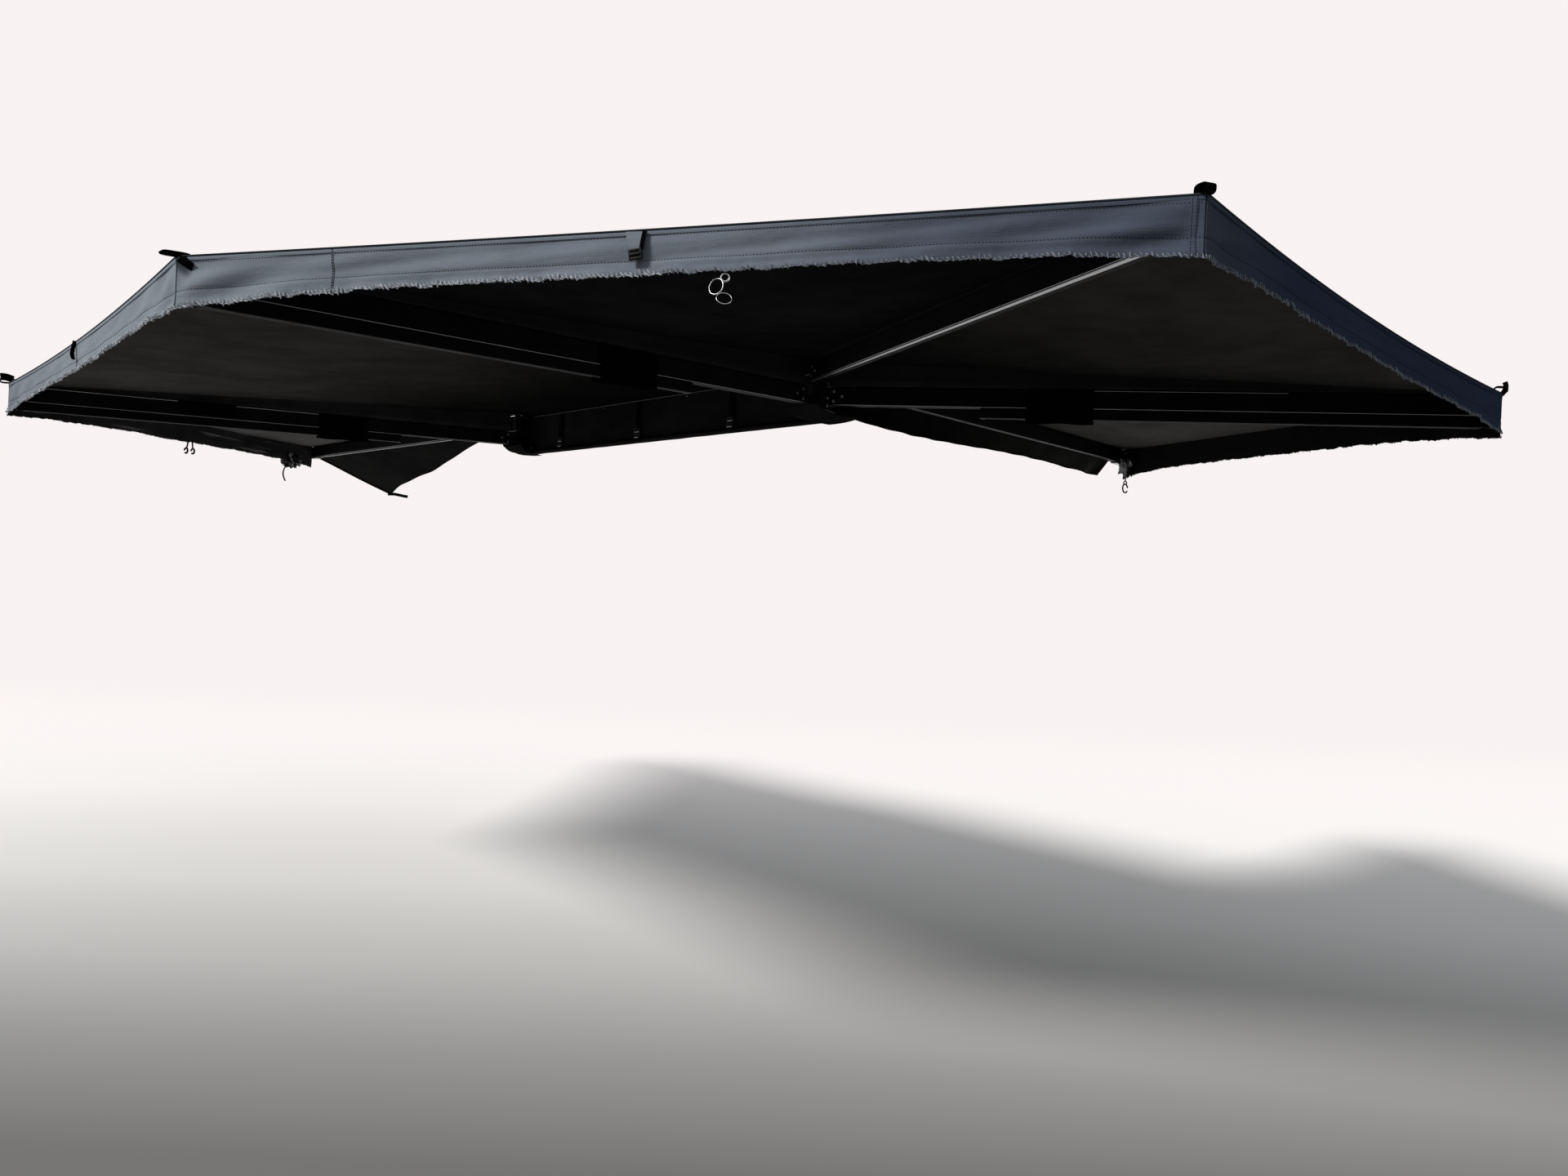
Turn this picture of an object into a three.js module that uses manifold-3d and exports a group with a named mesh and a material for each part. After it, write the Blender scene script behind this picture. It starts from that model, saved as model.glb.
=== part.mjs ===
// A free-standing awning for the side of a vehicle, spread out.
//
// A hollow base rail lies along the side of the roof. A hub of plates stands at
// each end of it, and six arms swing on the two hub bolts: arms a and b on the
// front hub, arms c, d, e and f on the rear one. The arms lie on two levels, so
// that they pass each other and lie side by side along the rail when folded.
// Arms b, c and e carry a telescopic leg underneath. Sheets of canopy span the
// arms, and a valance hangs from every outer edge.
//
// Frame: millimetres, +X towards the front of the vehicle, +Y away from it, +Z
// up. The origin is the middle of the rail's back face. The pieces are laid out
// from the level of the lower arms' middle, and the whole is set down at the end.
import * as THREE from 'three';
import Module from 'manifold-3d';
import { mergeVertices } from 'three/addons/utils/BufferGeometryUtils.js';

// Driving dimensions: plan of the arms
const HUB_SPACING = 2350;
const ARM_REACH = 2210;
const ARM_DROOP_DEG = 1.4;
const ARM_A_DIRECTION_DEG = 6.8;
const ARM_B_DIRECTION_DEG = 82;
const ARM_C_DIRECTION_DEG = 95;
const ARM_D_DIRECTION_DEG = 156.5;
const ARM_E_DIRECTION_DEG = 208.7;
const ARM_F_DIRECTION_DEG = 271.8;
const FOLD_LANE_PITCH = 50;
const FIRST_LANE_Y = 92;

// Driving dimensions: arm extrusion
const ARM_WIDTH = 40;
const ARM_HEIGHT = 66;
const ARM_WALL = 2;
const ARM_CORNER = 3;
const ARM_GROOVE_WIDTH = 6;
const ARM_GROOVE_DEPTH = 1.2;

// Driving dimensions: hubs
const HUB_PLATE = 5;
const HUB_EYE_RADIUS = 26;
const HUB_BLOCK_LENGTH = 50;
const HUB_SETBACK = 60;
const CLEAR_ABOVE_ARM = 2;
const CLEAR_BELOW_ARM = 5;
const CLEAR_UNDER_LOWER_ARM = 3;
const BOLT_RADIUS = 8;
const BOLT_HEAD_RADIUS = 14;
const BOLT_HEAD_HEIGHT = 8;
const BARREL_RADIUS = 21;
const BARREL_SPLIT = 1;

// Driving dimensions: knuckles and end caps
const ARM_START = 53;
const FLANGE = 8;
const PLUG_LENGTH = 60;
const TONGUE_THICKNESS = 32;
const CAP_PLATE = 5;
const CAP_PLUG = 25;
const CAP_TAB_WIDTH = 12;
const EAR_THICKNESS = 4;
const EAR_LENGTH = 46;

// Driving dimensions: legs
const LEG_SIZE = 34;
const LEG_WALL = 2;
const LEG_CORNER = 3;
const LEG_GAP = 1.5;
const LEG_PIN_RADIUS = 4;
const LEG_PIN_INSET = 30;
const LEG_PIN_STANDOUT = 1.75;
const LEG_START = 630;
const LEG_HEAD = 55;
const INNER_LEG_CLEARANCE = 1;
const INNER_LEG_WALL = 2;
const INNER_LEG_END_ROOM = 40;
const FOOT_LENGTH = 16;
const FOOT_LIP = 0.8;

// Driving dimensions: base rail, bag and straps
const RAIL_DEPTH = 40;
const RAIL_HEIGHT = 80;
const RAIL_WALL = 3;
const RAIL_SLOT_WIDTH = 8;
const RAIL_SLOT_DEPTH = 6;
const KEDER_RADIUS = 5;
const BAG_SKIN = 3;
const BAG_DROP = 200;
const BAG_ROLL_RADIUS = 12;
const BAG_OVERHANG = 48;
const BAG_SHORT_END = 30;
const BAG_TAB_REACH = 125;
const BAG_TAB_ROOM = 6;
const BAG_TAB_SEAT = 20;
const BAG_TAB_RETURN = 52;
const STRAP_WIDTH = 38;
const STRAP_THICKNESS = 2.5;
const STRAP_SPACING = 680;
const STRAP_SHIFT = 150;
const BUCKLE_HEIGHT = 46;
const BUCKLE_WIDTH = 52;
const BUCKLE_THICKNESS = 10;
const BUCKLE_LIFT = 30;
const STRAP_TOP_INSET = 4;

// Driving dimensions: canopy, valance, flaps and wraps
const CANOPY_THICKNESS = 2;
const CANOPY_SAG = 22;
const CORNER_REACH = 28;
const CORNER_LIFT = 4;
const APEX_LIFT = 14;
const APEX_TRIM = 16;
const SEAM_GAP = 0.4;
const EDGE_BOW = 45;
const EDGE_SAG = 14;
const VALANCE_DEPTH = 120;
const VALANCE_MID_DEPTH = 92;
const VALANCE_THICKNESS = 2;
const VALANCE_FOLD = 5;
const VALANCE_FOLDS = 9;
const WRAP_THICKNESS = 2.5;
const WRAP_ROOM = 0.5;
const WRAP_LENGTH = 230;
const WRAP_START = 775;
const WRAP_BELOW_LEG = 10;
const OUTER_WRAP_START = 1365;
const OUTER_WRAP_LENGTH = 240;
const OUTER_WRAP_DROP = 52;
const LOOP_WIDTH = 25;
const LOOP_LENGTH = 38;
const LOOP_HEIGHT = 22;
const LOOP_THICKNESS = 2.5;
const FLAP_A_WIDTH = 520;
const FLAP_A_DROP = 240;
const FLAP_A_START = 100;
const FLAP_A_WAVE = 14;
const FLAP_A_WAVES = 3;
const FLAP_F_DROP = 150;
const FLAP_F_START = 175;
const FLAP_F_SLANT = 165;
const FLAP_PLEAT = 12;
const FLAP_PLEATS = 11;
const FLAP_EDGE_INSET = 6;

// Clearances, and the overrun of cuts
const FIT = 0.3;
const OVERRUN = 1;

// Sides of the round pieces, and steps along the sheets
const ROUND_SIDES = 32;
const SMALL_SIDES = 16;
const HEX_SIDES = 6;
const CORNER_STEPS = 3;
const SHEET_STEPS = 12;
const EDGE_STEPS = 36;

// Sizes that follow
const DEG = Math.PI / 180;
const DROOP = ARM_DROOP_DEG * DEG;
const HALF_HEIGHT = ARM_HEIGHT / 2;
const HALF_WIDTH = ARM_WIDTH / 2;
const LANE_OFFSET = FOLD_LANE_PITCH / 2;
const MID_PLATE_BOTTOM = HALF_HEIGHT + CLEAR_ABOVE_ARM;
const LEVEL_PITCH = MID_PLATE_BOTTOM + HUB_PLATE + CLEAR_BELOW_ARM + HALF_HEIGHT;
const TOP_PLATE_BOTTOM = LEVEL_PITCH + HALF_HEIGHT + CLEAR_ABOVE_ARM;
const TOP_PLATE_TOP = TOP_PLATE_BOTTOM + HUB_PLATE;
const RAIL_TOP = TOP_PLATE_TOP;
const BOTTOM_PLATE_TOP = -HALF_HEIGHT - CLEAR_UNDER_LOWER_ARM;
const BOTTOM_PLATE_BOTTOM = BOTTOM_PLATE_TOP - HUB_PLATE;
const CANOPY_APEX_Z = TOP_PLATE_TOP + APEX_LIFT;
const CORNER_RADIUS = ARM_REACH + CORNER_REACH;
const LEG_CENTRE_Z = -HALF_HEIGHT - LEG_GAP - LEG_SIZE / 2;
const LEG_PIN_X = ARM_REACH - LEG_PIN_INSET;
const INNER_LEG_HALF = LEG_SIZE / 2 - LEG_WALL - INNER_LEG_CLEARANCE;
const EAR_INNER = LEG_SIZE / 2 + FIT;
const WIDEST_HALF = Math.max(HALF_WIDTH, LEG_SIZE / 2);
const REAR_PIVOT_Y = FIRST_LANE_Y + FOLD_LANE_PITCH + LANE_OFFSET;
const FRONT_HUB = { x: HUB_SPACING / 2, y: FIRST_LANE_Y };
const REAR_HUB = { x: -HUB_SPACING / 2, y: REAR_PIVOT_Y };

// What each arm is: its hub, direction, level, the side its extrusion lies on, and whether it has a leg.
// Side -1 and +1 arms share one bolt on one level, so each takes half the barrel's height.
const ARMS = {
  a: { hub: FRONT_HUB, angle: ARM_A_DIRECTION_DEG * DEG, upper: true, side: 0, leg: false },
  b: { hub: FRONT_HUB, angle: ARM_B_DIRECTION_DEG * DEG, upper: false, side: 0, leg: true },
  c: { hub: REAR_HUB, angle: ARM_C_DIRECTION_DEG * DEG, upper: false, side: -1, leg: true },
  d: { hub: REAR_HUB, angle: ARM_D_DIRECTION_DEG * DEG, upper: true, side: -1, leg: false },
  e: { hub: REAR_HUB, angle: ARM_E_DIRECTION_DEG * DEG, upper: false, side: 1, leg: true },
  f: { hub: REAR_HUB, angle: ARM_F_DIRECTION_DEG * DEG, upper: true, side: 1, leg: false },
};

// Finishes
const blackPaint = new THREE.MeshStandardMaterial({ color: 0x17181a, roughness: 0.42, metalness: 0.55 });
const castBlack = new THREE.MeshStandardMaterial({ color: 0x121314, roughness: 0.5, metalness: 0.35 });
const blackPlastic = new THREE.MeshStandardMaterial({ color: 0x101112, roughness: 0.55, metalness: 0 });
const zincSteel = new THREE.MeshStandardMaterial({ color: 0xb4b6b8, roughness: 0.3, metalness: 0.95 });
const greyAlloy = new THREE.MeshStandardMaterial({ color: 0x3a3c3f, roughness: 0.38, metalness: 0.8 });
const canopyCloth = new THREE.MeshStandardMaterial({ color: 0x1d1d1d, roughness: 0.85, metalness: 0 });
const valanceCloth = new THREE.MeshStandardMaterial({ color: 0x38424f, roughness: 0.8, metalness: 0 });
const bagCloth = new THREE.MeshStandardMaterial({ color: 0x151617, roughness: 0.6, metalness: 0 });
const webbing = new THREE.MeshStandardMaterial({ color: 0x0d0d0e, roughness: 0.8, metalness: 0 });

// Booleans
const wasm = await Module();
wasm.setup();

function solidOf(geometry) {
  const bare = geometry.clone();
  bare.deleteAttribute('normal');
  bare.deleteAttribute('uv');
  const merged = mergeVertices(bare);
  return new wasm.Manifold(new wasm.Mesh({
    numProp: 3,
    vertProperties: new Float32Array(merged.attributes.position.array),
    triVerts: new Uint32Array(merged.index.array),
  }));
}

function geometryOf(solid) {
  const mesh = solid.getMesh();
  const geometry = new THREE.BufferGeometry();
  geometry.setAttribute('position', new THREE.BufferAttribute(mesh.vertProperties, mesh.numProp));
  geometry.setIndex(new THREE.BufferAttribute(mesh.triVerts, 1));
  geometry.computeVertexNormals();
  return geometry;
}

function join(...geometries) {
  return geometryOf(geometries.map(solidOf).reduce((whole, piece) => whole.add(piece)));
}

function cut(geometry, ...cutters) {
  return geometryOf(cutters.map(solidOf).reduce((whole, piece) => whole.subtract(piece), solidOf(geometry)));
}

// Simple forms, each given by the corners or ends it reaches
function boxBetween(x0, x1, y0, y1, z0, z1) {
  const geometry = new THREE.BoxGeometry(x1 - x0, y1 - y0, z1 - z0);
  return geometry.translate((x0 + x1) / 2, (y0 + y1) / 2, (z0 + z1) / 2);
}

function uprightCylinder(radius, z0, z1, x, y, sides = ROUND_SIDES) {
  const geometry = new THREE.CylinderGeometry(radius, radius, z1 - z0, sides);
  return geometry.rotateX(Math.PI / 2).translate(x, y, (z0 + z1) / 2);
}

function crossCylinder(radius, y0, y1, x, z, sides = SMALL_SIDES) {
  return new THREE.CylinderGeometry(radius, radius, y1 - y0, sides).translate(x, (y0 + y1) / 2, z);
}

function shapeOf(points) {
  return new THREE.Shape(points.map(([u, v]) => new THREE.Vector2(u, v)));
}

function slabOf(points, z0, z1) {
  const geometry = new THREE.ExtrudeGeometry(shapeOf(points), { depth: z1 - z0, bevelEnabled: false });
  return geometry.translate(0, 0, z0);
}

// A section in y and z, drawn out along x from x0 to x1
function barAlongX(shape, x0, x1) {
  const geometry = new THREE.ExtrudeGeometry(shape, { depth: x1 - x0, bevelEnabled: false });
  const turn = new THREE.Matrix4().makeBasis(
    new THREE.Vector3(0, 1, 0),
    new THREE.Vector3(0, 0, 1),
    new THREE.Vector3(1, 0, 0),
  );
  return geometry.applyMatrix4(turn).translate(x0, 0, 0);
}

function arcPoints(cx, cy, radius, from, to, steps) {
  return Array.from({ length: steps + 1 }, (_, i) => {
    const angle = from + ((to - from) * i) / steps;
    return [cx + radius * Math.cos(angle), cy + radius * Math.sin(angle)];
  });
}

function roundedBox(halfY, halfZ, radius) {
  const quarter = Math.PI / 2;
  return [
    ...arcPoints(halfY - radius, halfZ - radius, radius, 0, quarter, CORNER_STEPS),
    ...arcPoints(radius - halfY, halfZ - radius, radius, quarter, 2 * quarter, CORNER_STEPS),
    ...arcPoints(radius - halfY, radius - halfZ, radius, 2 * quarter, 3 * quarter, CORNER_STEPS),
    ...arcPoints(halfY - radius, radius - halfZ, radius, 3 * quarter, 4 * quarter, CORNER_STEPS),
  ];
}

function squareTube(half, wall, x0, x1) {
  const shape = shapeOf(roundedBox(half, half, LEG_CORNER));
  const inner = half - wall;
  shape.holes.push(shapeOf([[inner, inner], [-inner, inner], [-inner, -inner], [inner, -inner]]));
  return barAlongX(shape, x0, x1);
}

// A thin closed sheet: pointAt(u, v) is its near face, and depth is the way through to its far face
function sheetOf(pointAt, depth, stepsU, stepsV) {
  const row = stepsU + 1;
  const layer = row * (stepsV + 1);
  const positions = [];
  for (const far of [0, 1]) {
    for (let j = 0; j <= stepsV; j += 1) {
      for (let i = 0; i <= stepsU; i += 1) {
        const point = pointAt(i / stepsU, j / stepsV).addScaledVector(depth, far);
        positions.push(point.x, point.y, point.z);
      }
    }
  }
  const faces = [];
  const quad = (a, b, c, d) => faces.push(a, b, c, a, c, d);
  for (let j = 0; j < stepsV; j += 1) {
    for (let i = 0; i < stepsU; i += 1) {
      const a = j * row + i;
      quad(a, a + row, a + row + 1, a + 1);
      quad(layer + a, layer + a + 1, layer + a + row + 1, layer + a + row);
    }
  }
  for (let i = 0; i < stepsU; i += 1) {
    const end = stepsV * row + i;
    quad(i, i + 1, layer + i + 1, layer + i);
    quad(end, layer + end, layer + end + 1, end + 1);
  }
  for (let j = 0; j < stepsV; j += 1) {
    const start = j * row;
    const end = start + stepsU;
    quad(start, layer + start, layer + start + row, start + row);
    quad(end, end + row, layer + end + row, layer + end);
  }
  const geometry = new THREE.BufferGeometry();
  geometry.setAttribute('position', new THREE.Float32BufferAttribute(positions, 3));
  geometry.setIndex(faces);
  const solid = solidOf(geometry);
  if (solid.volume() > 0) return geometryOf(solid);
  const turned = [];
  for (let k = 0; k < faces.length; k += 3) turned.push(faces[k], faces[k + 2], faces[k + 1]);
  geometry.setIndex(turned);
  return geometryOf(solidOf(geometry));
}

const awning = new THREE.Group();

function addTo(group, name, geometry, material) {
  const mesh = new THREE.Mesh(geometry, material);
  mesh.name = name;
  group.add(mesh);
  return mesh;
}

// Base rail: a hollow box with a slot for the bag's edge and a round lip for the canopy's edge
const railStart = REAR_HUB.x + HUB_SETBACK + HUB_BLOCK_LENGTH + FIT;
const railEnd = FRONT_HUB.x - HUB_SETBACK - HUB_BLOCK_LENGTH - FIT;
const railBottom = RAIL_TOP - RAIL_HEIGHT;
const slotZ = RAIL_TOP - RAIL_SLOT_WIDTH - RAIL_WALL;
const railOutline = [
  [0, railBottom],
  [RAIL_DEPTH, railBottom],
  [RAIL_DEPTH, slotZ - RAIL_SLOT_WIDTH],
  [RAIL_DEPTH - RAIL_SLOT_DEPTH, slotZ - RAIL_SLOT_WIDTH],
  [RAIL_DEPTH - RAIL_SLOT_DEPTH, slotZ],
  [RAIL_DEPTH, slotZ],
  [RAIL_DEPTH, RAIL_TOP],
  ...arcPoints(RAIL_DEPTH / 2, RAIL_TOP, KEDER_RADIUS, 0, Math.PI, SMALL_SIDES / 2),
  [0, RAIL_TOP],
];
const railInner = RAIL_DEPTH - RAIL_SLOT_DEPTH - RAIL_WALL;
const railShape = shapeOf(railOutline);
railShape.holes.push(shapeOf([
  [RAIL_WALL, railBottom + RAIL_WALL],
  [railInner, railBottom + RAIL_WALL],
  [railInner, RAIL_TOP - RAIL_WALL],
  [RAIL_WALL, RAIL_TOP - RAIL_WALL],
]));
addTo(awning, 'base_rail', barAlongX(railShape, railStart, railEnd), blackPaint);

// Bag: a skin that hangs down the rail's outer face and ends in a roll
const bagFace = RAIL_DEPTH + FIT;
const bagBottom = RAIL_TOP - BAG_DROP;
const bagStart = railStart - BAG_SHORT_END;
const bagEnd = railEnd + BAG_OVERHANG;
const bagSkin = boxBetween(
  bagStart, bagEnd,
  bagFace, bagFace + BAG_SKIN,
  bagBottom + BAG_ROLL_RADIUS, RAIL_TOP,
);
const rollOutline = arcPoints(
  bagFace + BAG_ROLL_RADIUS, bagBottom + BAG_ROLL_RADIUS, BAG_ROLL_RADIUS, 0, 2 * Math.PI, SMALL_SIDES,
).slice(0, -1);
// The bag's front end goes on behind the hub, from a seat under the block
const tabNear = FRONT_HUB.x - HUB_SETBACK;
const tabEnd = tabNear + BAG_TAB_REACH;
const tabSeatTop = bagBottom + BAG_ROLL_RADIUS + BAG_TAB_SEAT;
const tabWall = [FIT, FIT + BAG_SKIN];
const tabBottom = bagBottom + BAG_ROLL_RADIUS;
const bagTab = join(
  boxBetween(bagEnd - BAG_TAB_SEAT, bagEnd, FIT, bagFace + BAG_SKIN, tabBottom, tabSeatTop),
  boxBetween(bagEnd - BAG_TAB_SEAT, tabEnd, ...tabWall, tabBottom, tabSeatTop),
  boxBetween(tabNear + BAG_TAB_ROOM, tabEnd, ...tabWall, tabBottom, RAIL_TOP),
  boxBetween(tabEnd - BAG_SKIN, tabEnd, FIT, BAG_TAB_RETURN, tabBottom, RAIL_TOP),
);
const bagRoll = barAlongX(shapeOf(rollOutline), bagStart, bagEnd);
addTo(awning, 'bag', join(bagSkin, bagRoll, bagTab), bagCloth);

// Straps that close the bag, each with the body of its side-release buckle
const strapFace = bagFace + BAG_SKIN + FIT;
for (const [name, place] of [['front', 1], ['mid', 0], ['rear', -1]]) {
  const x = STRAP_SHIFT + place * STRAP_SPACING;
  const strapBottom = bagBottom + BUCKLE_LIFT;
  const strap = boxBetween(
    x - STRAP_WIDTH / 2, x + STRAP_WIDTH / 2,
    strapFace, strapFace + STRAP_THICKNESS,
    strapBottom, RAIL_TOP - STRAP_TOP_INSET,
  );
  const outline = roundedBox(BUCKLE_WIDTH / 2, BUCKLE_HEIGHT / 2, BUCKLE_THICKNESS / 2);
  const buckle = slabOf(outline, 0, BUCKLE_THICKNESS).rotateX(-Math.PI / 2)
    .translate(x, strapFace + STRAP_THICKNESS / 2, strapBottom + BUCKLE_HEIGHT / 2);
  addTo(awning, `bag_strap_${name}`, join(strap, buckle), webbing);
}

// Hubs: a block that closes the rail's end, and three plates with the eyes for the bolt
function addHub(name, hub, towardsRail) {
  const nearX = hub.x + towardsRail * HUB_SETBACK;
  const farX = nearX + towardsRail * HUB_BLOCK_LENGTH;
  const blockX = [Math.min(nearX, farX), Math.max(nearX, farX)];
  const block = boxBetween(
    blockX[0], blockX[1],
    0, RAIL_DEPTH,
    BOTTOM_PLATE_TOP + FIT, TOP_PLATE_BOTTOM - FIT,
  );
  const mouth = boxBetween(
    blockX[0] - OVERRUN, blockX[1] + OVERRUN,
    -OVERRUN, RAIL_DEPTH + OVERRUN,
    MID_PLATE_BOTTOM - FIT, MID_PLATE_BOTTOM + HUB_PLATE + FIT,
  );
  const back = farX - towardsRail * RAIL_WALL;
  const keptX = [Math.min(back, farX + towardsRail * OVERRUN), Math.max(back, farX + towardsRail * OVERRUN)];
  const kept = boxBetween(
    keptX[0], keptX[1],
    -OVERRUN, RAIL_DEPTH + OVERRUN,
    BOTTOM_PLATE_BOTTOM, TOP_PLATE_TOP,
  );
  addTo(awning, `hub_${name}_block`, cut(block, cut(mouth, kept)), castBlack);

  const eye = arcPoints(hub.x, hub.y, HUB_EYE_RADIUS, 0, 2 * Math.PI, ROUND_SIDES).slice(0, -1);
  const bore = uprightCylinder(
    BOLT_RADIUS + FIT, BOTTOM_PLATE_BOTTOM - OVERRUN, TOP_PLATE_TOP + OVERRUN, hub.x, hub.y,
  );
  const plate = (tailX, z0, z1) => {
    const tail = [[nearX, 0], [tailX, 0], [tailX, RAIL_DEPTH], [nearX, RAIL_DEPTH]];
    const neck = hullOf([[nearX, 0], [nearX, RAIL_DEPTH], ...eye]);
    return cut(join(slabOf(counterClockwise(tail), z0, z1), slabOf(neck, z0, z1)), bore);
  };
  const shortTail = back - towardsRail * FIT;
  addTo(awning, `hub_${name}_plate_top`, plate(farX, TOP_PLATE_BOTTOM, TOP_PLATE_TOP), greyAlloy);
  const midZ = [MID_PLATE_BOTTOM, MID_PLATE_BOTTOM + HUB_PLATE];
  addTo(awning, `hub_${name}_plate_mid`, plate(shortTail, ...midZ), greyAlloy);
  addTo(awning, `hub_${name}_plate_bottom`, plate(farX, BOTTOM_PLATE_BOTTOM, BOTTOM_PLATE_TOP), greyAlloy);

  const headTop = BOTTOM_PLATE_BOTTOM - FIT;
  const nutBottom = TOP_PLATE_TOP + FIT;
  const headHeight = BOLT_HEAD_HEIGHT;
  const shank = uprightCylinder(BOLT_RADIUS, headTop - OVERRUN, nutBottom + OVERRUN, hub.x, hub.y);
  const head = uprightCylinder(BOLT_HEAD_RADIUS, headTop - headHeight, headTop, hub.x, hub.y, HEX_SIDES);
  const nut = uprightCylinder(BOLT_HEAD_RADIUS, nutBottom, nutBottom + headHeight, hub.x, hub.y, HEX_SIDES);
  addTo(awning, `hub_${name}_bolt`, join(shank, head, nut), zincSteel);
}

function counterClockwise(points) {
  const clockwise = THREE.ShapeUtils.isClockWise(points.map(([u, v]) => new THREE.Vector2(u, v)));
  return clockwise ? [...points].reverse() : points;
}

// The convex outline round a set of points
function hullOf(points) {
  const sorted = [...points].sort((p, q) => p[0] - q[0] || p[1] - q[1]);
  const turn = (o, p, q) => (p[0] - o[0]) * (q[1] - o[1]) - (p[1] - o[1]) * (q[0] - o[0]);
  const half = (list) => {
    const chain = [];
    for (const point of list) {
      while (chain.length > 1 && turn(chain.at(-2), chain.at(-1), point) <= 0) chain.pop();
      chain.push(point);
    }
    return chain.slice(0, -1);
  };
  return [...half(sorted), ...half([...sorted].reverse())];
}

addHub('front', FRONT_HUB, -1);
addHub('rear', REAR_HUB, 1);

// Arms: in each arm's own frame, x runs out along the arm from the hub bolt, y is to its left
function armExtrusion(side) {
  const outline = roundedBox(HALF_WIDTH, HALF_HEIGHT, ARM_CORNER);
  const shape = shapeOf(outline);
  const innerY = HALF_WIDTH - ARM_WALL;
  const innerZ = HALF_HEIGHT - ARM_WALL;
  shape.holes.push(shapeOf([[innerY, innerZ], [-innerY, innerZ], [-innerY, -innerZ], [innerY, -innerZ]]));
  const start = ARM_START + FIT;
  const end = ARM_REACH - CAP_PLATE - FIT;
  const bar = barAlongX(shape, start, end);
  const grooves = [-1, 1].map((hand) => boxBetween(
    start - OVERRUN, end + OVERRUN,
    hand * HALF_WIDTH - ARM_GROOVE_DEPTH, hand * HALF_WIDTH + ARM_GROOVE_DEPTH,
    -ARM_GROOVE_WIDTH / 2, ARM_GROOVE_WIDTH / 2,
  ));
  return cut(bar, ...grooves).translate(0, side * LANE_OFFSET, 0);
}

// A knuckle: barrel on the bolt, tongue, flange against the extrusion's end and plug inside it
function armKnuckle(side) {
  const laneY = side * LANE_OFFSET;
  const barrelZ = [
    side > 0 ? BARREL_SPLIT / 2 : -HALF_HEIGHT,
    side < 0 ? -BARREL_SPLIT / 2 : HALF_HEIGHT,
  ];
  const eye = arcPoints(0, 0, BARREL_RADIUS, 0, 2 * Math.PI, ROUND_SIDES).slice(0, -1);
  const tongueEndX = ARM_START - FLANGE / 2;
  const tongueHalf = TONGUE_THICKNESS / 2;
  const tongue = slabOf(
    hullOf([...eye, [tongueEndX, laneY - tongueHalf], [tongueEndX, laneY + tongueHalf]]),
    barrelZ[0],
    barrelZ[1],
  );
  const flange = boxBetween(
    ARM_START - FLANGE, ARM_START,
    laneY - HALF_WIDTH, laneY + HALF_WIDTH,
    -HALF_HEIGHT, HALF_HEIGHT,
  );
  const plugY = HALF_WIDTH - ARM_WALL - FIT;
  const plugZ = HALF_HEIGHT - ARM_WALL - FIT;
  const plug = boxBetween(
    ARM_START - FLANGE, ARM_START + PLUG_LENGTH,
    laneY - plugY, laneY + plugY,
    -plugZ, plugZ,
  );
  const tilted = join(flange, plug).rotateY(DROOP);
  const bore = uprightCylinder(BOLT_RADIUS + FIT, -ARM_HEIGHT, ARM_HEIGHT, 0, 0);
  return cut(join(tongue, tilted), bore);
}

// An end cap: plate, plug and a tab that holds the canopy's corner; under a leg also the leg's ears and pin
function armCap(side, leg) {
  const laneY = side * LANE_OFFSET;
  const plate = boxBetween(
    ARM_REACH - CAP_PLATE, ARM_REACH,
    laneY - HALF_WIDTH, laneY + HALF_WIDTH,
    -HALF_HEIGHT, HALF_HEIGHT,
  );
  const plugY = HALF_WIDTH - ARM_WALL - FIT;
  const plugZ = HALF_HEIGHT - ARM_WALL - FIT;
  const plug = boxBetween(
    ARM_REACH - CAP_PLATE - CAP_PLUG, ARM_REACH - CAP_PLATE / 2,
    laneY - plugY, laneY + plugY, -plugZ, plugZ,
  );
  const tab = boxBetween(
    ARM_REACH - CAP_PLATE, ARM_REACH,
    laneY - CAP_TAB_WIDTH / 2, laneY + CAP_TAB_WIDTH / 2,
    HALF_HEIGHT - CAP_PLATE, HALF_HEIGHT + CORNER_LIFT - 2 * FIT,
  );
  if (!leg) return join(plate, plug, tab);
  const bottom = LEG_CENTRE_Z - LEG_SIZE / 2;
  const earOuter = EAR_INNER + EAR_THICKNESS;
  const apron = boxBetween(
    ARM_REACH - CAP_PLATE, ARM_REACH,
    laneY - earOuter, laneY + earOuter,
    bottom, -HALF_HEIGHT + CAP_PLATE,
  );
  const ears = [-1, 1].map((hand) => {
    const near = laneY + hand * EAR_INNER;
    const far = laneY + hand * earOuter;
    return boxBetween(
      ARM_REACH - EAR_LENGTH, ARM_REACH - CAP_PLATE / 2,
      Math.min(near, far), Math.max(near, far),
      bottom, -HALF_HEIGHT - FIT,
    );
  });
  const pin = crossCylinder(
    LEG_PIN_RADIUS,
    laneY - earOuter - LEG_PIN_STANDOUT,
    laneY + earOuter + LEG_PIN_STANDOUT,
    LEG_PIN_X, LEG_CENTRE_Z,
  );
  return join(plate, plug, tab, apron, ...ears, pin);
}

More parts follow.
